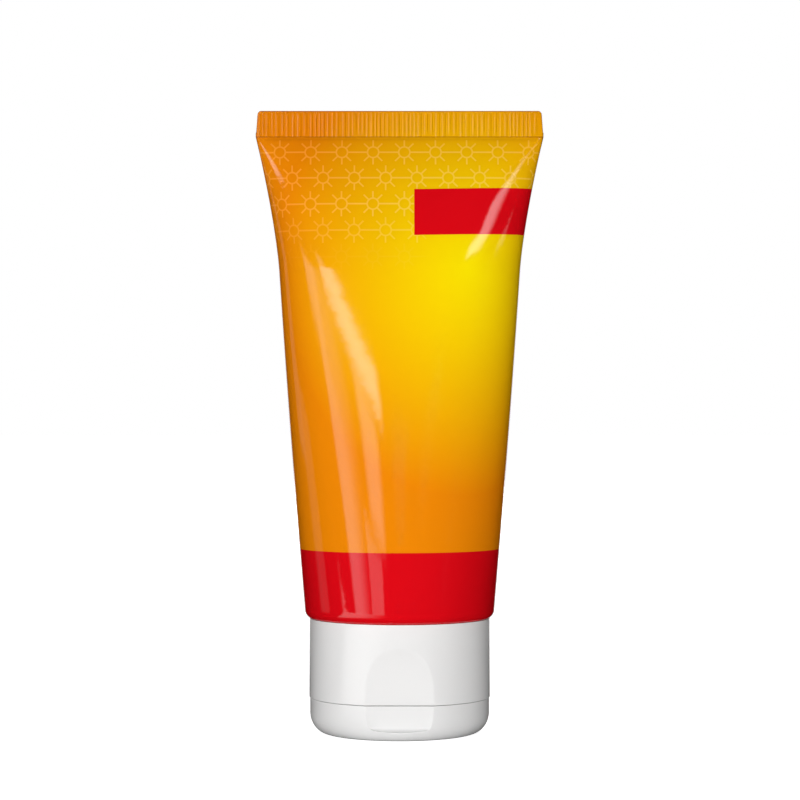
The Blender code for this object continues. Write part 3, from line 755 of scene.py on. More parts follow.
def make_crimp_mesh():
    places = np.linspace(-CRIMP_HALF_WIDTH, CRIMP_HALF_WIDTH, CRIMP_COLUMNS)
    ribs, kinds = rib_profile(places)
    steady = CRIMP_HALF_WIDTH - LEANING_END
    up = np.linspace(0, 1, FACE_ROWS)
    heights = CRIMP_FOOT_Z + CRIMP_EDGE + (CRIMP_TOP_Z - CRIMP_FOOT_Z - 2 * CRIMP_EDGE) * up
    rows, prints = [], []
    for k, place in enumerate(places):
        from_end = CRIMP_HALF_WIDTH - abs(place)
        taper = math.sqrt(max(0.0, 1 - max(0.0, 1 - from_end / END_TAPER) ** 2))
        taper = max(taper, END_THINNEST)
        low_fade = np.clip(up / RIB_LOW_FADE, 0, 1) if kinds[k] > SHORT_RIB else 1.0
        fade = low_fade * np.clip((1 - up) / RIB_TOP_FADE, 0, 1)
        front = (CRIMP_FACE + ribs[k] * fade) * taper
        thin = CRIMP_FACE * CRIMP_EDGE_SHARE * taper
        y = np.concatenate(([-thin], -front[:1], -front, [-thin, thin], front[::-1], front[:1],
                            [thin]))
        z = np.concatenate(([CRIMP_FOOT_Z, CRIMP_FOOT_Z + SHARP], heights,
                            [CRIMP_TOP_Z, CRIMP_TOP_Z], heights[::-1],
                            [CRIMP_FOOT_Z + SHARP, CRIMP_FOOT_Z]))
        x = np.full(len(z), place)
        if abs(place) > steady:
            out = (abs(place) - steady) / (CRIMP_HALF_WIDTH - steady)
            x = np.sign(place) * (steady + out * (crimp_half_width(z) - steady))
        rows.append(np.stack([x, y, z], axis=1))
        flat = np.where(y < 0, x, np.copysign(2 * CRIMP_HALF_WIDTH, x + 1e-9) - x)
        prints.append(np.stack([flat, z], axis=1))
    return skin_mesh("crimp", rows, prints=prints)


crimp_mesh = make_crimp_mesh()

# %% [markdown]
# ## The print
#
# The sheet is printed before it is rolled.  The UV map gives the place on it in metres, sideways
# from the middle of the front and upwards from the table, so each motif is a short formula in real
# sizes.  The ground runs from orange to a yellow glow right of the middle, and a weaker glow is on
# the back.

# %% Ground of the print
GLOW_PLACE = (12.65 * MM, 84.9 * MM)
GLOW_REACH_LEFT = 35.4 * MM
GLOW_REACH_RIGHT = 33.3 * MM
GLOW_REACH_HIGH = 41.1 * MM
BACK_GLOW = 0.85
BACK_GLOW_REACH = 24 * MM
BACK_GLOW_BLUNT = 0.01
ORANGE = rgba(0.86, 0.243, 0.002)
YELLOW = rgba(0.965, 0.765, 0.001)


def glow_share(finish, across, up):
    """How yellow the ground is: 1 in the middle of the glow, and 0 where it is plain orange."""
    side = across - GLOW_PLACE[0]
    side = finish.larger(side / GLOW_REACH_RIGHT, 0 - side / GLOW_REACH_LEFT)
    rise = (up - GLOW_PLACE[1]) / GLOW_REACH_HIGH
    front = 1 - finish.length(side, rise)
    side = (math.pi * SLEEVE_RADIUS - abs(across)) / BACK_GLOW_REACH
    back = BACK_GLOW - finish.calc("SQRT", side * side + rise * rise + BACK_GLOW_BLUNT)
    return finish.larger(finish.larger(front, back), 0.0)


print("the glow's middle in mm:", [round(side / MM, 1) for side in GLOW_PLACE])

# %% [markdown]
# Rows of small suns cross the top and fade downwards.  A remainder folds the whole sheet into one
# cell of the pattern, and each second row is shifted.  In a cell, a line is where the distance from
# a ring or from a ray is small, and the nearest of the eight rays comes from a remainder too.

# %% Suns
SUN_PITCH = 5.715 * MM
SUN_ROW_PITCH = 4.87 * MM
SUN_FIRST = 0.86 * MM
SUN_SHIFT = -3.4 * MM
SUN_TOP_ROW_Z = 106.5 * MM
SUN_RAYS = 8
SUN_RING = 1.03 * MM
SUN_REACH = 2.2 * MM
SUN_LONG_REACH = 0.55 * MM
SUN_LONG_POWER = 8
SUN_STROKE = 0.15 * MM
SUN_SOFT = 0.12 * MM
SUN_TOP_FADE = (-0.5, 0.0)
SUN_ROW_FADE = (2.0, 4.6)
PANEL_ROWS = (1.2, 1.8)
BESIDE_PANEL = (3.0 * MM, 6.0 * MM)
SUN_INK = 0.8
SUN_ORANGE = rgba(1.0, 0.345, 0.030)
SUN_YELLOW = rgba(1.0, 0.83, 0.080)


def sun_share(finish, across, up):
    """1 on the lines of the suns: a ring and rays in each cell of a staggered pattern."""
    row = finish.calc("ROUND", (SUN_TOP_ROW_Z - up) / SUN_ROW_PITCH)
    odd = row % 2.0
    x = (across - SUN_FIRST - odd * SUN_SHIFT + SUN_PITCH / 2) % SUN_PITCH - SUN_PITCH / 2
    y = up - SUN_TOP_ROW_Z + row * SUN_ROW_PITCH
    far = finish.length(x, y)
    ring = abs(far - SUN_RING)
    turn = finish.calc("ARCTAN2", y, x)
    step = math.tau / SUN_RAYS
    off_ray = (turn + step / 2) % step - step / 2
    off_line = abs(far * finish.calc("SINE", off_ray))
    reach = SUN_REACH + SUN_LONG_REACH * finish.calc("COSINE", turn) ** SUN_LONG_POWER
    ray = finish.larger(finish.larger(SUN_RING - far, far - reach), off_line)
    line = finish.smaller(ring, ray)
    drawn = 1 - finish.ramp(line, SUN_STROKE - SUN_SOFT / 2, SUN_STROKE + SUN_SOFT / 2)
    fade = finish.ramp(row, *SUN_TOP_FADE) * (1 - finish.ramp(row, *SUN_ROW_FADE))
    right = finish.ramp(abs(across), *BESIDE_PANEL) * finish.calc("GREATER_THAN", across, 0.0)
    return drawn * fade * (1 - finish.ramp(row, *PANEL_ROWS) * right)


def sunny_ground(finish, across, up):
    glow = glow_share(finish, across, up)
    suns = finish.mixed(glow, SUN_ORANGE, SUN_YELLOW)
    return finish.mixed(sun_share(finish, across, up) * SUN_INK,
                        finish.mixed(glow, ORANGE, YELLOW), suns)


print("suns in a row:", round(2 * math.pi * SLEEVE_RADIUS / SUN_PITCH))

# %% [markdown]
# A red panel and a red band are printed over the ground, and their edges are as soft as ink that
# has spread a little.  The panel's lower edge climbs very slightly to the right.

# %% Panel and band
PANEL_LOW = (2.65 * MM, 90.95 * MM)
PANEL_HIGH = (39.0 * MM, 99.5 * MM)
PANEL_TILT = 0.016
BAND_TOP_Z = 33.85 * MM
PRINT_EDGE = 0.05 * MM
RED = rgba(0.720, 0.003, 0.008)


def beyond(finish, value, edge):
    """0 before an edge in the print and 1 behind it."""
    return finish.ramp(value, edge - PRINT_EDGE, edge + PRINT_EDGE)


def red_share(finish, across, up):
    along_panel = up - PANEL_TILT * (across - PANEL_LOW[0])
    panel = beyond(finish, across, PANEL_LOW[0]) * (1 - beyond(finish, across, PANEL_HIGH[0]))
    panel = panel * beyond(finish, along_panel, PANEL_LOW[1])
    panel = panel * (1 - beyond(finish, along_panel, PANEL_HIGH[1]))
    return finish.larger(panel, 1 - beyond(finish, up, BAND_TOP_Z))


print("panel in mm:", [round((b - a) / MM, 2) for a, b in zip(PANEL_LOW, PANEL_HIGH)])

# %% [markdown]
# Near the weld the print gets painted shade: a thin brown painted shadow along the crimp's foot,
# and a faint painted shade just under the weld.  Painted shade also darkens the print slowly
# towards the top, the crimp is a little darker still, and the cut edge at the top is dark brown.
# The film is nearly a mirror, with a slow change in its gloss and a ripple of a hundredth of a
# millimetre.

# %% Print finish
SHADE_AND_EDGE_BROWN = rgba(0.24, 0.075, 0.004)
# Painted shadow: a thin dark brown line along the crimp's foot.
FOOT_SHADOW = (0.06 * MM, 0.16 * MM)
FOOT_SHADOW_SHARE = 0.55
CUT_EDGE = (CRIMP_TOP_Z - 0.22 * MM, CRIMP_TOP_Z - 0.08 * MM)
CUT_EDGE_SHARE = 0.6
# Painted shade under the weld, fading downwards from the crimp's foot.
UNDER_WELD_SHADE_REACH = 1.2 * MM
UNDER_WELD_SHADE_EDGE = 0.1 * MM
UNDER_WELD_SHADE_SHARE = 0.2
# Painted shade: the print darkens towards the top, and the crimp is a little darker still.
TOP_PAINTED_SHADE = 0.10
TOP_PAINTED_SHADE_RISE = (72 * MM, 114 * MM)
CRIMP_SHADE = 0.08
CRIMP_SHADE_RISE = (CRIMP_FOOT_Z, CRIMP_FOOT_Z + 0.4 * MM)
FILM_ROUGHNESS = 0.045
FILM_ROUGHNESS_CHANGE = 0.015
FILM_RIPPLE = 0.01 * MM
FILM_CLOUDS = (90.0, 3.0)
FILM_RIPPLES = (420.0, 2.0)


def make_print_finish():
    finish = Finish("printed_film")
    across, up = finish.parts("ShaderNodeUVMap", "UV", {"uv_map": "print"})
    ink = finish.mixed(red_share(finish, across, up), sunny_ground(finish, across, up), RED)
    below = CRIMP_FOOT_Z - up
    # Painted shadow along the crimp's foot, and painted shade under the weld.
    line = 1 - finish.ramp(abs(below), *FOOT_SHADOW)
    under_weld_shade = (1 - finish.ramp(below, 0.0, UNDER_WELD_SHADE_REACH)) * finish.ramp(below, -UNDER_WELD_SHADE_EDGE, 0.0)
    painted_shade_and_dark_edge = finish.larger(line * FOOT_SHADOW_SHARE, finish.ramp(up, *CUT_EDGE) * CUT_EDGE_SHARE)
    painted_shade_and_dark_edge = finish.larger(painted_shade_and_dark_edge, under_weld_shade * UNDER_WELD_SHADE_SHARE)
    # Painted shade towards the top, and a slightly darker crimp.
    shade = TOP_PAINTED_SHADE * finish.ramp(up, *TOP_PAINTED_SHADE_RISE)
    shade = shade + CRIMP_SHADE * finish.ramp(up, *CRIMP_SHADE_RISE)
    finish.set("Base Color", finish.mixed(painted_shade_and_dark_edge, finish.mixed(shade, ink, BLACK), SHADE_AND_EDGE_BROWN))
    place = finish.place()
    change = FILM_ROUGHNESS_CHANGE * finish.noise(FILM_CLOUDS, place)
    finish.set("Roughness", FILM_ROUGHNESS + change)
    finish.bump(finish.noise(FILM_RIPPLES, place), FILM_RIPPLE)
    print("print nodes:", len(finish.tree.nodes))
    return finish


finished_object("printed_sleeve", [sleeve_mesh, crimp_mesh], make_print_finish(), "tube",
                "tube_sleeve")

# %% [markdown]
# ## The cap's round wall
#
# Base and lid share one outer wall with a shallow thumb recess at the front and a pocket for the
# hinge at the back.  Both are written as a distance from the axis for every direction and height,
# so the wall needs more directions where they have their edges.

# %% Cap sizes
base_low, base_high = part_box("cap_base")
lid_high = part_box("cap_lid")[1]
BASE_RADIUS = base_high.x
LID_RADIUS = lid_high.x
LID_TOP_Z = lid_high.z
BASE_Z = LID_TOP_Z + 0.3 * MM
BASE_TOP_Z = base_high.z
CAP_WALL = 1.2 * MM
RECESS_HALF_WIDTH = 6.8 * MM
HINGE_Y = BASE_RADIUS - 0.9 * MM
HINGE_Z = LID_TOP_Z + 0.15 * MM
POCKET_FLOOR_Y = HINGE_Y - 0.5 * MM
POCKET_HALF_WIDTH = math.sqrt(LID_RADIUS ** 2 - HINGE_Y ** 2) + 0.7 * MM
BASE_POCKET_TOP_Z = BASE_Z + 4.0 * MM
LID_POCKET_FLOOR_Z = LID_TOP_Z - 3.2 * MM
POCKET_TURN = math.asin(POCKET_HALF_WIDTH / (BASE_RADIUS - 0.2 * MM))
print("cap radius and height in mm:", round(BASE_RADIUS / MM, 2), round(BASE_TOP_Z / MM, 2))


# %% Directions round the cap
RECESS_MARGIN = math.radians(2)
RECESS_TURNS = 150
POCKET_END = math.radians(0.08)
PLAIN_TURN = math.radians(1.5)


def cap_turns():
    """Directions round the axis from the front, closer at the recess and at the pocket's ends."""
    recess_turn = math.asin(RECESS_HALF_WIDTH / BASE_RADIUS) + RECESS_MARGIN
    stops = [recess_turn]
    for end in (math.pi - POCKET_TURN, math.pi + POCKET_TURN):
        stops += [end - POCKET_END, end + POCKET_END]
    stops.append(math.tau - recess_turn)
    turns = list(np.linspace(-recess_turn, recess_turn, RECESS_TURNS))
    for start, end in zip(stops, stops[1:]):
        count = max(1, round((end - start) / PLAIN_TURN))
        turns += list(np.linspace(start, end, count + 1)[1:])
    return np.array(turns[:-1])


TURNS = cap_turns()
SIDE = np.sin(TURNS)
FORWARD = np.cos(TURNS)
print("directions:", len(TURNS))

# %% [markdown]
# ## The thumb recess
#
# The recess is egg-shaped.  Its floor is flat from side to side, so it meets the round wall in an
# arch at the top and in steep sides.  Towards the lid's ledge it leans inwards, and its lower
# corners are rounded.  A rounded maximum, and not a plain one, lets it run out as a moulded edge
# does.

# %% Recess
RECESS_HALF_HEIGHT = 9.3 * MM
RECESS_CENTRE_Z = 7.6 * MM
RECESS_DEPTH = 1.18 * MM
RECESS_POWER = 2.7
RECESS_LOW_CLOSE_SHARE = 0.35
RECESS_EDGE = 0.05 * MM
RECESS_LEAN = 0.6 * MM
RECESS_LEAN_HEIGHT = 5.1 * MM
RECESS_LEAN_MOST = 1.1
RECESS_CORNER_X = 3.6 * MM
RECESS_CORNER_REACH = 8.0 * MM
RECESS_ROUNDS = 12
FRONT_FORWARD = 0.5
FAR_OFF_SHIFT = RECESS_EDGE ** 2 / (40 * MM)


def recess_depth(x, z):
    """How deep the recess is sunk at a place on the front."""
    upward = (z - RECESS_CENTRE_Z) / RECESS_HALF_HEIGHT
    close = abs(upward) ** RECESS_POWER * (1 if upward > 0 else RECESS_LOW_CLOSE_SHARE)
    low = np.clip((RECESS_CENTRE_Z - z) / RECESS_LEAN_HEIGHT, 0, RECESS_LEAN_MOST)
    corner = (low * np.maximum(np.abs(x) - RECESS_CORNER_X, 0.0)) ** 2 / RECESS_CORNER_REACH
    floor = RECESS_DEPTH * (1 - close) + RECESS_LEAN * low - corner
    wall = BASE_RADIUS - np.sqrt(np.maximum(BASE_RADIUS ** 2 - x ** 2, 0.0))
    depth = floor - wall
    return (depth + np.sqrt(depth ** 2 + RECESS_EDGE ** 2)) / 2


def recessed(radius, z):
    """The distance from the axis of a round wall with the recess sunk into it.

    The recess's depth is known across the front, and not by direction, so each round starts from
    the place that the round before it gave.
    """
    radius = np.broadcast_to(np.asarray(radius, float), TURNS.shape)
    sunk = radius.copy()
    front = FORWARD > FRONT_FORWARD
    for _ in range(RECESS_ROUNDS):
        x = sunk * SIDE
        shift = np.where(front, recess_depth(x, z), 0.0) - FAR_OFF_SHIFT
        wall = np.sqrt(np.maximum(BASE_RADIUS ** 2 - x ** 2, 0.0)) - np.maximum(shift, 0.0)
        wall = wall / np.maximum(FORWARD, FRONT_FORWARD)
        sunk = np.where(front, np.minimum(radius, wall), radius)
    return sunk


check = recessed(BASE_RADIUS, RECESS_CENTRE_Z)
print("deepest recess at its middle height in mm:", round((BASE_RADIUS - check.min()) / MM, 2))

# %% [markdown]
# The hinge lies in a pocket with a flat floor across the back, sunk into base and lid alike.

# %% Hinge pocket
STEP = 0.12 * MM
BACKWARD_LEAST = 0.3


def pocketed(radius, floor_y, open_share=1.0):
    """A round wall with the hinge's pocket cut into it."""
    inside = (FORWARD < 0) & (np.abs(np.pi - TURNS) < POCKET_TURN)
    cut = np.minimum(radius, floor_y / np.maximum(-FORWARD, BACKWARD_LEAST))
    return np.where(inside, radius + (cut - radius) * open_share, radius)


def opened(past_end):
    """How far the pocket is open, from 0 at its end to 1 after a narrow step."""
    return np.clip(past_end / STEP, 0, 1)


check = pocketed(BASE_RADIUS, POCKET_FLOOR_Y)
print("the pocket cuts", int((check < BASE_RADIUS).sum()), "directions")

# %% [markdown]
# ## Profiles that go round
#
# Each moulded piece is a profile of corners that goes round the axis.  A corner has a distance
# from the axis, a height and a fillet, and the distance may differ with the direction.

# %% Rounded corners along a profile
FILLET_STEPS = 4


def round_profile(corners, closed):
    """Rows of (radius, height) arrays through corners of (radius, height, fillet)."""
    whole = [(np.broadcast_to(np.asarray(r, float), TURNS.shape),
              np.broadcast_to(np.asarray(z, float), TURNS.shape), fillet)
             for r, z, fillet in corners]
    rows = []
    last = len(whole) - 1
    for k, (r, z, fillet) in enumerate(whole):
        if not fillet or (not closed and k in (0, last)):
            rows.append((r, z))
            continue
        ends = []
        for other in (whole[k - 1], whole[(k + 1) % len(whole)]):
            dr, dz = other[0] - r, other[1] - z
            far = np.maximum(np.hypot(dr, dz), 1e-9)
            reach = np.minimum(fillet, far / 2)
            ends.append((r + dr / far * reach, z + dz / far * reach))
        for t in np.linspace(0, 1, FILLET_STEPS + 1):
            a, b, c = (1 - t) ** 2, 2 * t * (1 - t), t ** 2
            rows.append((a * ends[0][0] + b * r + c * ends[1][0],
                         a * ends[0][1] + b * z + c * ends[1][1]))
    return rows


def turned_rows(profile):
    """Points in space from rows of (radius, height)."""
    return [np.stack([r * SIDE, -r * FORWARD, z], axis=1) for r, z in profile]


print("rows for a corner:", FILLET_STEPS + 1)

# %% [markdown]
# The screw thread is added to the wall's distance from the axis.  At one height it stands out where
# the height, less the part of a pitch that the direction has climbed, is near a whole pitch.

# %% Thread
THREAD_FOOT_Z = 12.6 * MM
THREAD_PITCH = 3.0 * MM
THREAD_TURNS = 1.6
THREAD_WIDTH = 1.3 * MM
THREAD_FLANK = 0.35 * THREAD_WIDTH
THREAD_RUN_OUT = 0.2


def thread_height(z, start_z, depth):
    """How far a screw thread stands out, at each direction, at one height."""
    turn = (TURNS % math.tau) / math.tau
    phase = (z - start_z) / THREAD_PITCH - turn
    number = np.round(phase)
    off = np.abs(phase - number) * THREAD_PITCH
    along = number + turn
    taper = (np.clip(along / THREAD_RUN_OUT, 0, 1)
             * np.clip((THREAD_TURNS - along) / THREAD_RUN_OUT, 0, 1))
    body = np.clip((THREAD_WIDTH / 2 - off) / THREAD_FLANK, 0, 1)
    return depth * taper * body * body * (3 - 2 * body)


def threaded(radius, side, low, high, rows, start_z, depth):
    """Corners along a threaded wall.  A side of 1 is a thread outside it, and -1 one inside it."""
    return [(radius + side * thread_height(z, start_z, depth), z, 0)
            for z in np.linspace(low, high, rows)]


print("thread from", round(THREAD_FOOT_Z / MM, 1), "mm, turns:", THREAD_TURNS)

# %% [markdown]
# Base and lid each have an outside with recess and pocket, and an inside that follows it at the
# wall's thickness.  The lid's foot is rounded outside and inside.

# %% Walls of base and lid
LID_ROUND_WIDTH = 3.2 * MM
LID_ROUND_HEIGHT = 3.8 * MM
LID_INNER_WIDTH = 2.0 * MM
LID_INNER_HEIGHT = 2.6 * MM
STEP_ROWS = (-0.13 * MM, -0.06 * MM, 0.01 * MM)


def base_outer(z):
    return pocketed(recessed(BASE_RADIUS, z), POCKET_FLOOR_Y, opened(BASE_POCKET_TOP_Z - z))


def base_inner(z):
    behind = recessed(BASE_RADIUS, z) - CAP_WALL
    return pocketed(behind, POCKET_FLOOR_Y - CAP_WALL, opened(BASE_POCKET_TOP_Z + CAP_WALL - z))


def lid_round(z):
    """The lid's outside without recess and pocket."""
    low = np.clip((LID_ROUND_HEIGHT - z) / LID_ROUND_HEIGHT, 0, 1)
    return LID_RADIUS - LID_ROUND_WIDTH + LID_ROUND_WIDTH * np.sqrt(1 - low ** 2)


def lid_outer(z):
    return pocketed(recessed(lid_round(z), z), POCKET_FLOOR_Y, opened(z - LID_POCKET_FLOOR_Z))


def lid_inner(z):
    plain = LID_RADIUS - CAP_WALL
    if z < LID_ROUND_HEIGHT:
        low = (LID_ROUND_HEIGHT - z) / LID_INNER_HEIGHT
        plain = LID_RADIUS - LID_ROUND_WIDTH + LID_INNER_WIDTH * math.sqrt(max(0.0, 1 - low ** 2))
    behind = np.minimum(plain, recessed(BASE_RADIUS, z) - CAP_WALL)
    return pocketed(behind, POCKET_FLOOR_Y - CAP_WALL)


def wall_corners(wall, low, high, rows, pocket_end, side):
    """Corners up a wall, with some more of them at the pocket's end."""
    heights = list(np.linspace(low, high, rows))
    heights += [pocket_end + side * row for row in STEP_ROWS]
    return [(wall(z), z, 0) for z in sorted(heights)]


print("lid's inner radius at its top in mm:", round(lid_inner(LID_TOP_Z).max() / MM, 2))

# %% [markdown]
# ## The cap's base
#
# The base is one moulding: a skirt, a deck with the spout, a ring that seals the neck's bore, and
# an inner sleeve with the screw thread.  Its profile is a closed loop round the spout's hole, so
# the whole base is one skin whose last row joins the first.

# %% Base skin
PARTING_GAP = 0.10 * MM
RIM_GAP = 0.08 * MM
RIM_INSETS = (0.25 * MM, 0.5 * MM, 0.8 * MM)
BASE_WALL_ROWS = 90
BASE_INNER_ROWS = 40
DECK_INNER_Z = BASE_Z + 0.8 * MM
DECK_FACE_Z = BASE_Z - 0.8 * MM
SPOUT_TIP_Z = base_low.z
SPOUT_RADII = (2.1 * MM, 3.2 * MM, 3.6 * MM)
SEAL_RADIUS = 6.5 * MM
SEAL_WALL = 0.8 * MM
SEAL_RING_HEIGHT = 2.0 * MM
NECK_SLEEVE_RADIUS = 9.3 * MM
NECK_SLEEVE_TOP_Z = 19.6 * MM
CAP_THREAD_DEPTH = 0.6 * MM
CAP_THREAD_ROWS = 76


def under_shoulder(radius):
    """The height of the sleeve's rounded shoulder over the cap, at a distance from the axis."""
    out = max(0.0, radius - (SLEEVE_RADIUS - SHOULDER_ROUND))
    return ROUND_TOP_Z - math.sqrt(SHOULDER_ROUND ** 2 - out ** 2)


def base_skirt():
    """Corners up the outside, over the rim and down the inside to the deck."""
    foot_z = LID_TOP_Z + PARTING_GAP
    corners = [(base_outer(foot_z), foot_z, 0.1 * MM)]
    corners += wall_corners(base_outer, foot_z + STEP, BASE_TOP_Z - STEP, BASE_WALL_ROWS,
                            BASE_POCKET_TOP_Z, 1)
    corners.append((base_outer(BASE_TOP_Z), under_shoulder(BASE_RADIUS) - RIM_GAP, 0.06 * MM))
    for inset in RIM_INSETS:
        corners.append((BASE_RADIUS - inset, under_shoulder(BASE_RADIUS - inset) - RIM_GAP, 0))
    corners.append((base_inner(BASE_TOP_Z), BASE_TOP_Z, 0.1 * MM))
    for z in np.linspace(BASE_TOP_Z - STEP, DECK_INNER_Z + 2 * STEP, BASE_INNER_ROWS):
        corners.append((base_inner(z), z, 0))
    return corners + [(base_inner(DECK_INNER_Z), DECK_INNER_Z, 0.3 * MM)]


def neck_sleeve():
    """Corners over the inner sleeve, with the thread on its inside."""
    outer = NECK_SLEEVE_RADIUS + CAP_WALL
    corners = [(outer, DECK_INNER_Z, 0.3 * MM), (outer, NECK_SLEEVE_TOP_Z, 0.25 * MM),
               (NECK_SLEEVE_RADIUS, NECK_SLEEVE_TOP_Z, 0.25 * MM)]
    corners += threaded(NECK_SLEEVE_RADIUS, -1, NECK_SLEEVE_TOP_Z - 0.5 * MM,
                        DECK_INNER_Z + 0.4 * MM, CAP_THREAD_ROWS,
                        THREAD_FOOT_Z + THREAD_PITCH / 2, CAP_THREAD_DEPTH)
    return corners + [(NECK_SLEEVE_RADIUS, DECK_INNER_Z, 0.15 * MM)]


def seal_and_spout():
    """Corners over the sealing ring, through the spout's hole and back along the deck's face."""
    ring_top = DECK_INNER_Z + SEAL_RING_HEIGHT
    ring_inner = SEAL_RADIUS - SEAL_WALL
    hole, tip, foot = SPOUT_RADII
    deck_edge = np.minimum(LID_RADIUS - CAP_WALL, lid_inner(LID_TOP_Z)) - 0.3 * MM
    return [
        (SEAL_RADIUS, DECK_INNER_Z, 0.15 * MM),
        (SEAL_RADIUS, ring_top - 0.4 * MM, 0.1 * MM),
        (SEAL_RADIUS - 0.25 * MM, ring_top, 0.15 * MM),
        (ring_inner, ring_top, 0.15 * MM),
        (ring_inner, DECK_INNER_Z, 0.2 * MM),
        (hole, DECK_INNER_Z, 0.2 * MM),
        (hole, SPOUT_TIP_Z, 0.15 * MM),
        (tip, SPOUT_TIP_Z, 0.3 * MM),
        (foot, DECK_FACE_Z, 0.5 * MM),
        (deck_edge - 2.0 * MM, DECK_FACE_Z, 0),
        (deck_edge, DECK_FACE_Z, 0.15 * MM),
        (deck_edge, BASE_Z, 0.06 * MM),
    ]


base_profile = round_profile(base_skirt() + neck_sleeve() + seal_and_spout(), True)
base_mesh = skin_mesh("base", turned_rows(base_profile), joined=True)

# %% [markdown]
# ## The lid
#
# The lid is a shallow cup with a rounded foot.  Its recess ends on a ledge, a hollow cove under
# which the thumb pushes it open.  From the middle of its foot the profile runs out over the
# rounding, in through the cove, up the wall, down the inside and up over the plug that shuts the
# spout.

# %% Lid skin
LEDGE_Z = 2.45 * MM
LEDGE_SLOPE = 0.44
LEDGE_NUDGE = 0.04 * MM
FOOT_ROWS = 16
COVE_ROWS = 8
LID_WALL_ROWS = 40
LID_INNER_ROWS = 30
LID_FLOOR = 1.2 * MM
PLUG_RADIUS = 1.8 * MM
PLUG_TIP_Z = SPOUT_TIP_Z + 1.8 * MM


def lid_foot():
    """Corners from the middle over the rounded foot and through the cove to the ledge."""
    ledge_z = LEDGE_Z + LEDGE_NUDGE
    ledge_wall = recessed(lid_round(ledge_z), ledge_z)
    foot_z = LEDGE_Z - LEDGE_NUDGE - LEDGE_SLOPE * (lid_round(ledge_z) - ledge_wall)
    foot_turn = np.arcsin(1 - foot_z / LID_ROUND_HEIGHT)
    corners = [(radius * MM, 0.0, 0) for radius in (0.4, 5.0, 10.0)]
    for share in np.linspace(0, 1, FOOT_ROWS):
        turn = math.pi / 2 + (foot_turn - math.pi / 2) * share
        corners.append((LID_RADIUS - LID_ROUND_WIDTH + LID_ROUND_WIDTH * np.cos(turn),
                        LID_ROUND_HEIGHT - LID_ROUND_HEIGHT * np.sin(turn), 0))
    foot_r, foot_z, _ = corners.pop()
    corners.append((foot_r, foot_z, 0.08 * MM))
    for turn in np.linspace(0, math.pi / 2, COVE_ROWS)[1:]:
        corners.append((foot_r + (ledge_wall - foot_r) * math.sin(turn),
                        ledge_z - (ledge_z - foot_z) * math.cos(turn), 0))
    return corners


def lid_walls():
    """Corners up the outside, over the rim and down the inside."""
    corners = wall_corners(lid_outer, LEDGE_Z + 5 * LEDGE_NUDGE, LID_TOP_Z - STEP, LID_WALL_ROWS,
                           LID_POCKET_FLOOR_Z, -1)
    corners += [(lid_outer(LID_TOP_Z), LID_TOP_Z, 0.12 * MM),
                (lid_inner(LID_TOP_Z), LID_TOP_Z, 0.15 * MM)]
    for z in np.linspace(LID_TOP_Z - 0.2 * MM, LID_FLOOR + 0.02 * MM, LID_INNER_ROWS):
        corners.append((lid_inner(z), z, 0))
    return corners


def lid_plug():
    """Corners along the lid's floor, up over the hollow plug and to the middle."""
    return [
        (np.minimum(12.0 * MM, lid_inner(LID_FLOOR) - 0.4 * MM), LID_FLOOR, 0),
        (6.0 * MM, LID_FLOOR, 0),
        (PLUG_RADIUS + 0.1 * MM, LID_FLOOR, 0.5 * MM),
        (PLUG_RADIUS, PLUG_TIP_Z - 0.6 * MM, 0.3 * MM),
        (PLUG_RADIUS - 0.5 * MM, PLUG_TIP_Z, 0.2 * MM),
        (0.95 * MM, PLUG_TIP_Z, 0.15 * MM),
        (0.8 * MM, LID_FLOOR + 0.3 * MM, 0.3 * MM),
        (0.2 * MM, LID_FLOOR + 0.3 * MM, 0),
    ]


lid_profile = round_profile(lid_foot() + lid_walls() + lid_plug(), False)
lid_mesh = skin_mesh("lid", turned_rows(lid_profile))

# %% [markdown]
# ## White plastic
#
# Cap and lid are moulded polypropylene: white, a little translucent, with a satin sheen.  The
# sheen varies slightly where the mould was polished, and a very fine grain breaks it up.

# %% White finishes
CLOUD_SHADE = 0.985
CLOUDS = (60.0, 3.0)
SATIN_CHANGE = 0.06
SATIN_CLOUDS = (240.0, 4.0)
GRAIN_HEIGHT = 0.006 * MM
GRAIN = (2600.0, 2.0)
WHITES = {
    "cap_plastic": ((0.860, 0.860, 0.855), 0.15),
    "lid_plastic": ((0.860, 0.860, 0.855), 0.15),
    "hinge_plastic": ((0.790, 0.790, 0.785), 0.34),
    "head_plastic": ((0.760, 0.760, 0.745), 0.40),
}


def make_white_finish(name, color, roughness):
    finish = Finish(name)
    place = finish.place()
    dimmer = rgba(*(CLOUD_SHADE * part for part in color))
    finish.set("Base Color", finish.mixed(finish.noise(CLOUDS, place), dimmer, rgba(*color)))
    finish.set("Roughness", roughness + SATIN_CHANGE * finish.noise(SATIN_CLOUDS, place))
    finish.bump(finish.noise(GRAIN, place), GRAIN_HEIGHT)
    return finish


whites = {name: make_white_finish(name, *values) for name, values in WHITES.items()}
finished_object("cap_body", [base_mesh], whites["cap_plastic"], "cap", "cap_base")
finished_object("flip_lid", [lid_mesh], whites["lid_plastic"], "lid", "cap_lid")

# %% [markdown]
# ## The head
#
# Inside the sleeve's lower end sits a stiff disc with a collar, to which the film is welded, and
# the neck with the thread.  It shows once the cap is off.  The thread is added to the neck's
# distance from the axis, so neck and thread are one skin.

# %% Head skin
head_low, head_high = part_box("tube_head")
COLLAR_RADIUS = head_high.x
COLLAR_INNER = COLLAR_RADIUS - 0.8 * MM
HEAD_WALL = 1.5 * MM
HEAD_GAP = 0.3 * MM
NECK_RADIUS = 8.2 * MM
NECK_BORE = 6.8 * MM
NECK_FOOT_RADIUS = 9.6 * MM
NECK_ROOT_Z = 19.9 * MM
NECK_THREAD_DEPTH = 0.75 * MM
NECK_THREAD_ROWS = 78


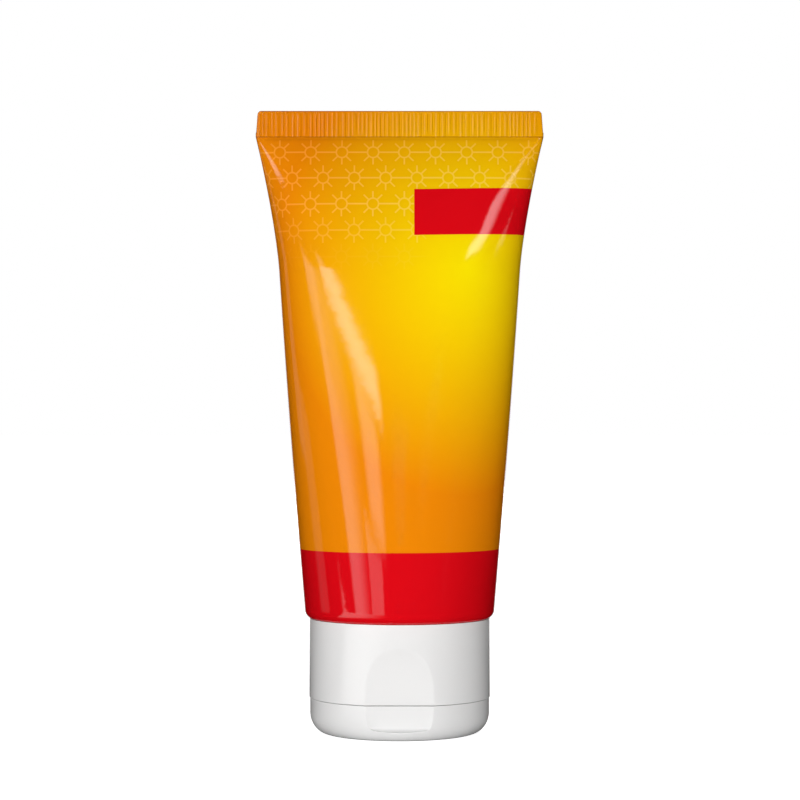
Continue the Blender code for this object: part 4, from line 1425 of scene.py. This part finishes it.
def make_head_mesh():
    tip_z = head_low.z
    seat = SHOULDER_ROUND - SLEEVE_WALL - HEAD_GAP
    centre = SLEEVE_RADIUS - SHOULDER_ROUND
    corners = [(COLLAR_INNER, head_high.z, 0.2 * MM),
               (COLLAR_RADIUS - 0.4 * MM, head_high.z, 0.2 * MM), (COLLAR_RADIUS, ROUND_TOP_Z, 0)]
    corners += [(radius, z, 0) for radius, z in curl(centre, seat, 8)[1:]]
    corners += [(centre - HEAD_GAP, ROUND_TOP_Z - seat, 0),
                (centre - HEAD_GAP, SHOULDER_Z, 0.1 * MM),
                (NECK_FOOT_RADIUS, NECK_ROOT_Z, 0.3 * MM), (NECK_RADIUS, NECK_ROOT_Z, 0.4 * MM)]
    corners += threaded(NECK_RADIUS, 1, NECK_ROOT_Z - 0.6 * MM, tip_z + 0.5 * MM,
                        NECK_THREAD_ROWS, THREAD_FOOT_Z, NECK_THREAD_DEPTH)
    corners += [(NECK_RADIUS, tip_z + 0.3 * MM, 0.1 * MM),
                (NECK_RADIUS - 0.3 * MM, tip_z, 0.15 * MM), (NECK_BORE, tip_z, 0.2 * MM),
                (NECK_BORE, NECK_ROOT_Z + HEAD_WALL, 0.6 * MM),
                (COLLAR_INNER, SHOULDER_Z + HEAD_WALL, 0.4 * MM)]
    return skin_mesh("head", turned_rows(round_profile(corners, True)), joined=True)


finished_object("neck_and_shoulder", [make_head_mesh()], whites["head_plastic"], "tube",
                "tube_head")

# %% [markdown]
# ## The lotion
#
# The lotion fills the neck's bore and the sleeve up to its level, with an air space above.  Its
# top is not level as water's: a thick lotion keeps the soft swell of the last squeeze, and it
# climbs a little at the wall.

# %% Lotion skin
lotion_low, lotion_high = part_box("lotion_fill")
LOTION_AROUND = 120
LOTION_ROWS = 40
LOTION_GAP = 0.3 * MM
LOTION_SINK = 0.9 * MM
LOTION_CLIMB = 0.7 * MM
LOTION_SWELL = 0.5 * MM
SWELL_SIZE = (9 * MM, 6 * MM)
TOP_RINGS = (0.985, 0.95, 0.88, 0.78, 0.66, 0.54, 0.42, 0.3, 0.18, 0.08)


def make_lotion_mesh():
    gap = LOTION_GAP
    bore, collar = NECK_BORE - gap, COLLAR_INNER - gap
    disc_z, collar_z = SHOULDER_Z + HEAD_WALL + gap, head_high.z + gap
    rings = ((0.3 * bore, lotion_low.z), (bore - gap, lotion_low.z), (bore, lotion_low.z + gap),
             (bore, NECK_ROOT_Z + HEAD_WALL + gap), (collar - gap, disc_z),
             (collar, disc_z + gap), (collar, collar_z))
    rows = [round_row(radius, height, LOTION_AROUND) for radius, height in rings]
    for height in np.linspace(collar_z, lotion_high.z - 0.2 * MM, LOTION_ROWS):
        rows.append(sleeve_row(height, SLEEVE_WALL + gap, LOTION_AROUND)[0])
    rim = rows[-1]
    for share in TOP_RINGS:
        row = rim.copy()
        row[:, :2] *= share
        for point in row:
            swell = noise.noise(Vector((point[0] / SWELL_SIZE[0], point[1] / SWELL_SIZE[1], 1.5)))
            point[2] = (lotion_high.z - LOTION_SINK + LOTION_CLIMB * (share ** 8)
                        + LOTION_SWELL * swell * (1 - share ** 6))
        rows.append(row)
    return skin_mesh("lotion", rows)


lotion_mesh = make_lotion_mesh()

# %% Lotion finish
LOTION_ROUGHNESS = 0.3
LOTION_COLORS = (rgba(0.86, 0.82, 0.71), rgba(0.88, 0.85, 0.77))
LOTION_CLOUDS = (120.0, 3.0)
LOTION_RIPPLE = 0.04 * MM
LOTION_RIPPLES = (300.0, 2.0)


def make_lotion_finish():
    finish = Finish("lotion")
    place = finish.place()
    finish.set("Base Color", finish.mixed(finish.noise(LOTION_CLOUDS, place), *LOTION_COLORS))
    finish.set("Roughness", LOTION_ROUGHNESS)
    finish.bump(finish.noise(LOTION_RIPPLES, place), LOTION_RIPPLE)
    return finish


finished_object("lotion_body", [lotion_mesh], make_lotion_finish(), "tube",
                "lotion_fill")

# %% [markdown]
# ## The hinge
#
# Lid and base are one moulding, joined by two thin films on the hinge line and by a wider strap
# between them, which snaps the lid open.  Films and strap bend as the lid turns, so each is a
# strip with many rows across the hinge line.

# %% Hinge strips
STRIP_ROWS = 36
STRIP_COLUMNS = 7
THIN_REACH = 0.6 * MM
STRIP_FLAT = 0.38
STRIP_EDGE = 0.12
STRIP_EDGE_LOSS = 0.35
HINGE_STRIPS = {
    "hinge_web_left": ("hinge_film_left", 0.75),
    "hinge_web_right": ("hinge_film_right", 0.75),
    "snap_strap": ("hinge_strap", 0.55),
}


def hinge_strip(name, node, thin_share):
    """A strip as wide and high as its solid, thinnest on the hinge line."""
    low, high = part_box(node)
    middle, size = (low + high) / 2, high - low
    bm = bmesh.new()
    bmesh.ops.create_cube(bm, size=1.0)
    for axis, cuts in ((2, STRIP_ROWS), (0, STRIP_COLUMNS)):
        edges = [edge for edge in bm.edges
                 if abs(edge.verts[0].co[axis] - edge.verts[1].co[axis]) > 0.5]
        bmesh.ops.subdivide_edges(bm, edges=edges, cuts=cuts, use_grid_fill=True)
    for vert in bm.verts:
        x, y, z = vert.co
        place_z = middle.z + size.z * z
        near = max(0.0, 1 - abs(place_z - HINGE_Z) / THIN_REACH)
        thin = 1 - (1 - thin_share) * near * near * (3 - 2 * near)
        soft = 1 - STRIP_EDGE_LOSS * max(0.0, abs(x) - STRIP_FLAT) / STRIP_EDGE
        vert.co = (middle.x + size.x * x, middle.y + size.y * y * thin * soft, place_z)
    mesh = bpy.data.meshes.new(name)
    bm.to_mesh(mesh)
    bm.free()
    piece = finished_object(name, [mesh], whites["hinge_plastic"], None, node)
    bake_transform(piece)


for name, values in HINGE_STRIPS.items():
    hinge_strip(name, *values)

# %% [markdown]
# ## The packed solids
#
# The packed solids stay in the scene, hidden, beside the dressed pieces. The dressed tube
# may not outgrow the packed solids.
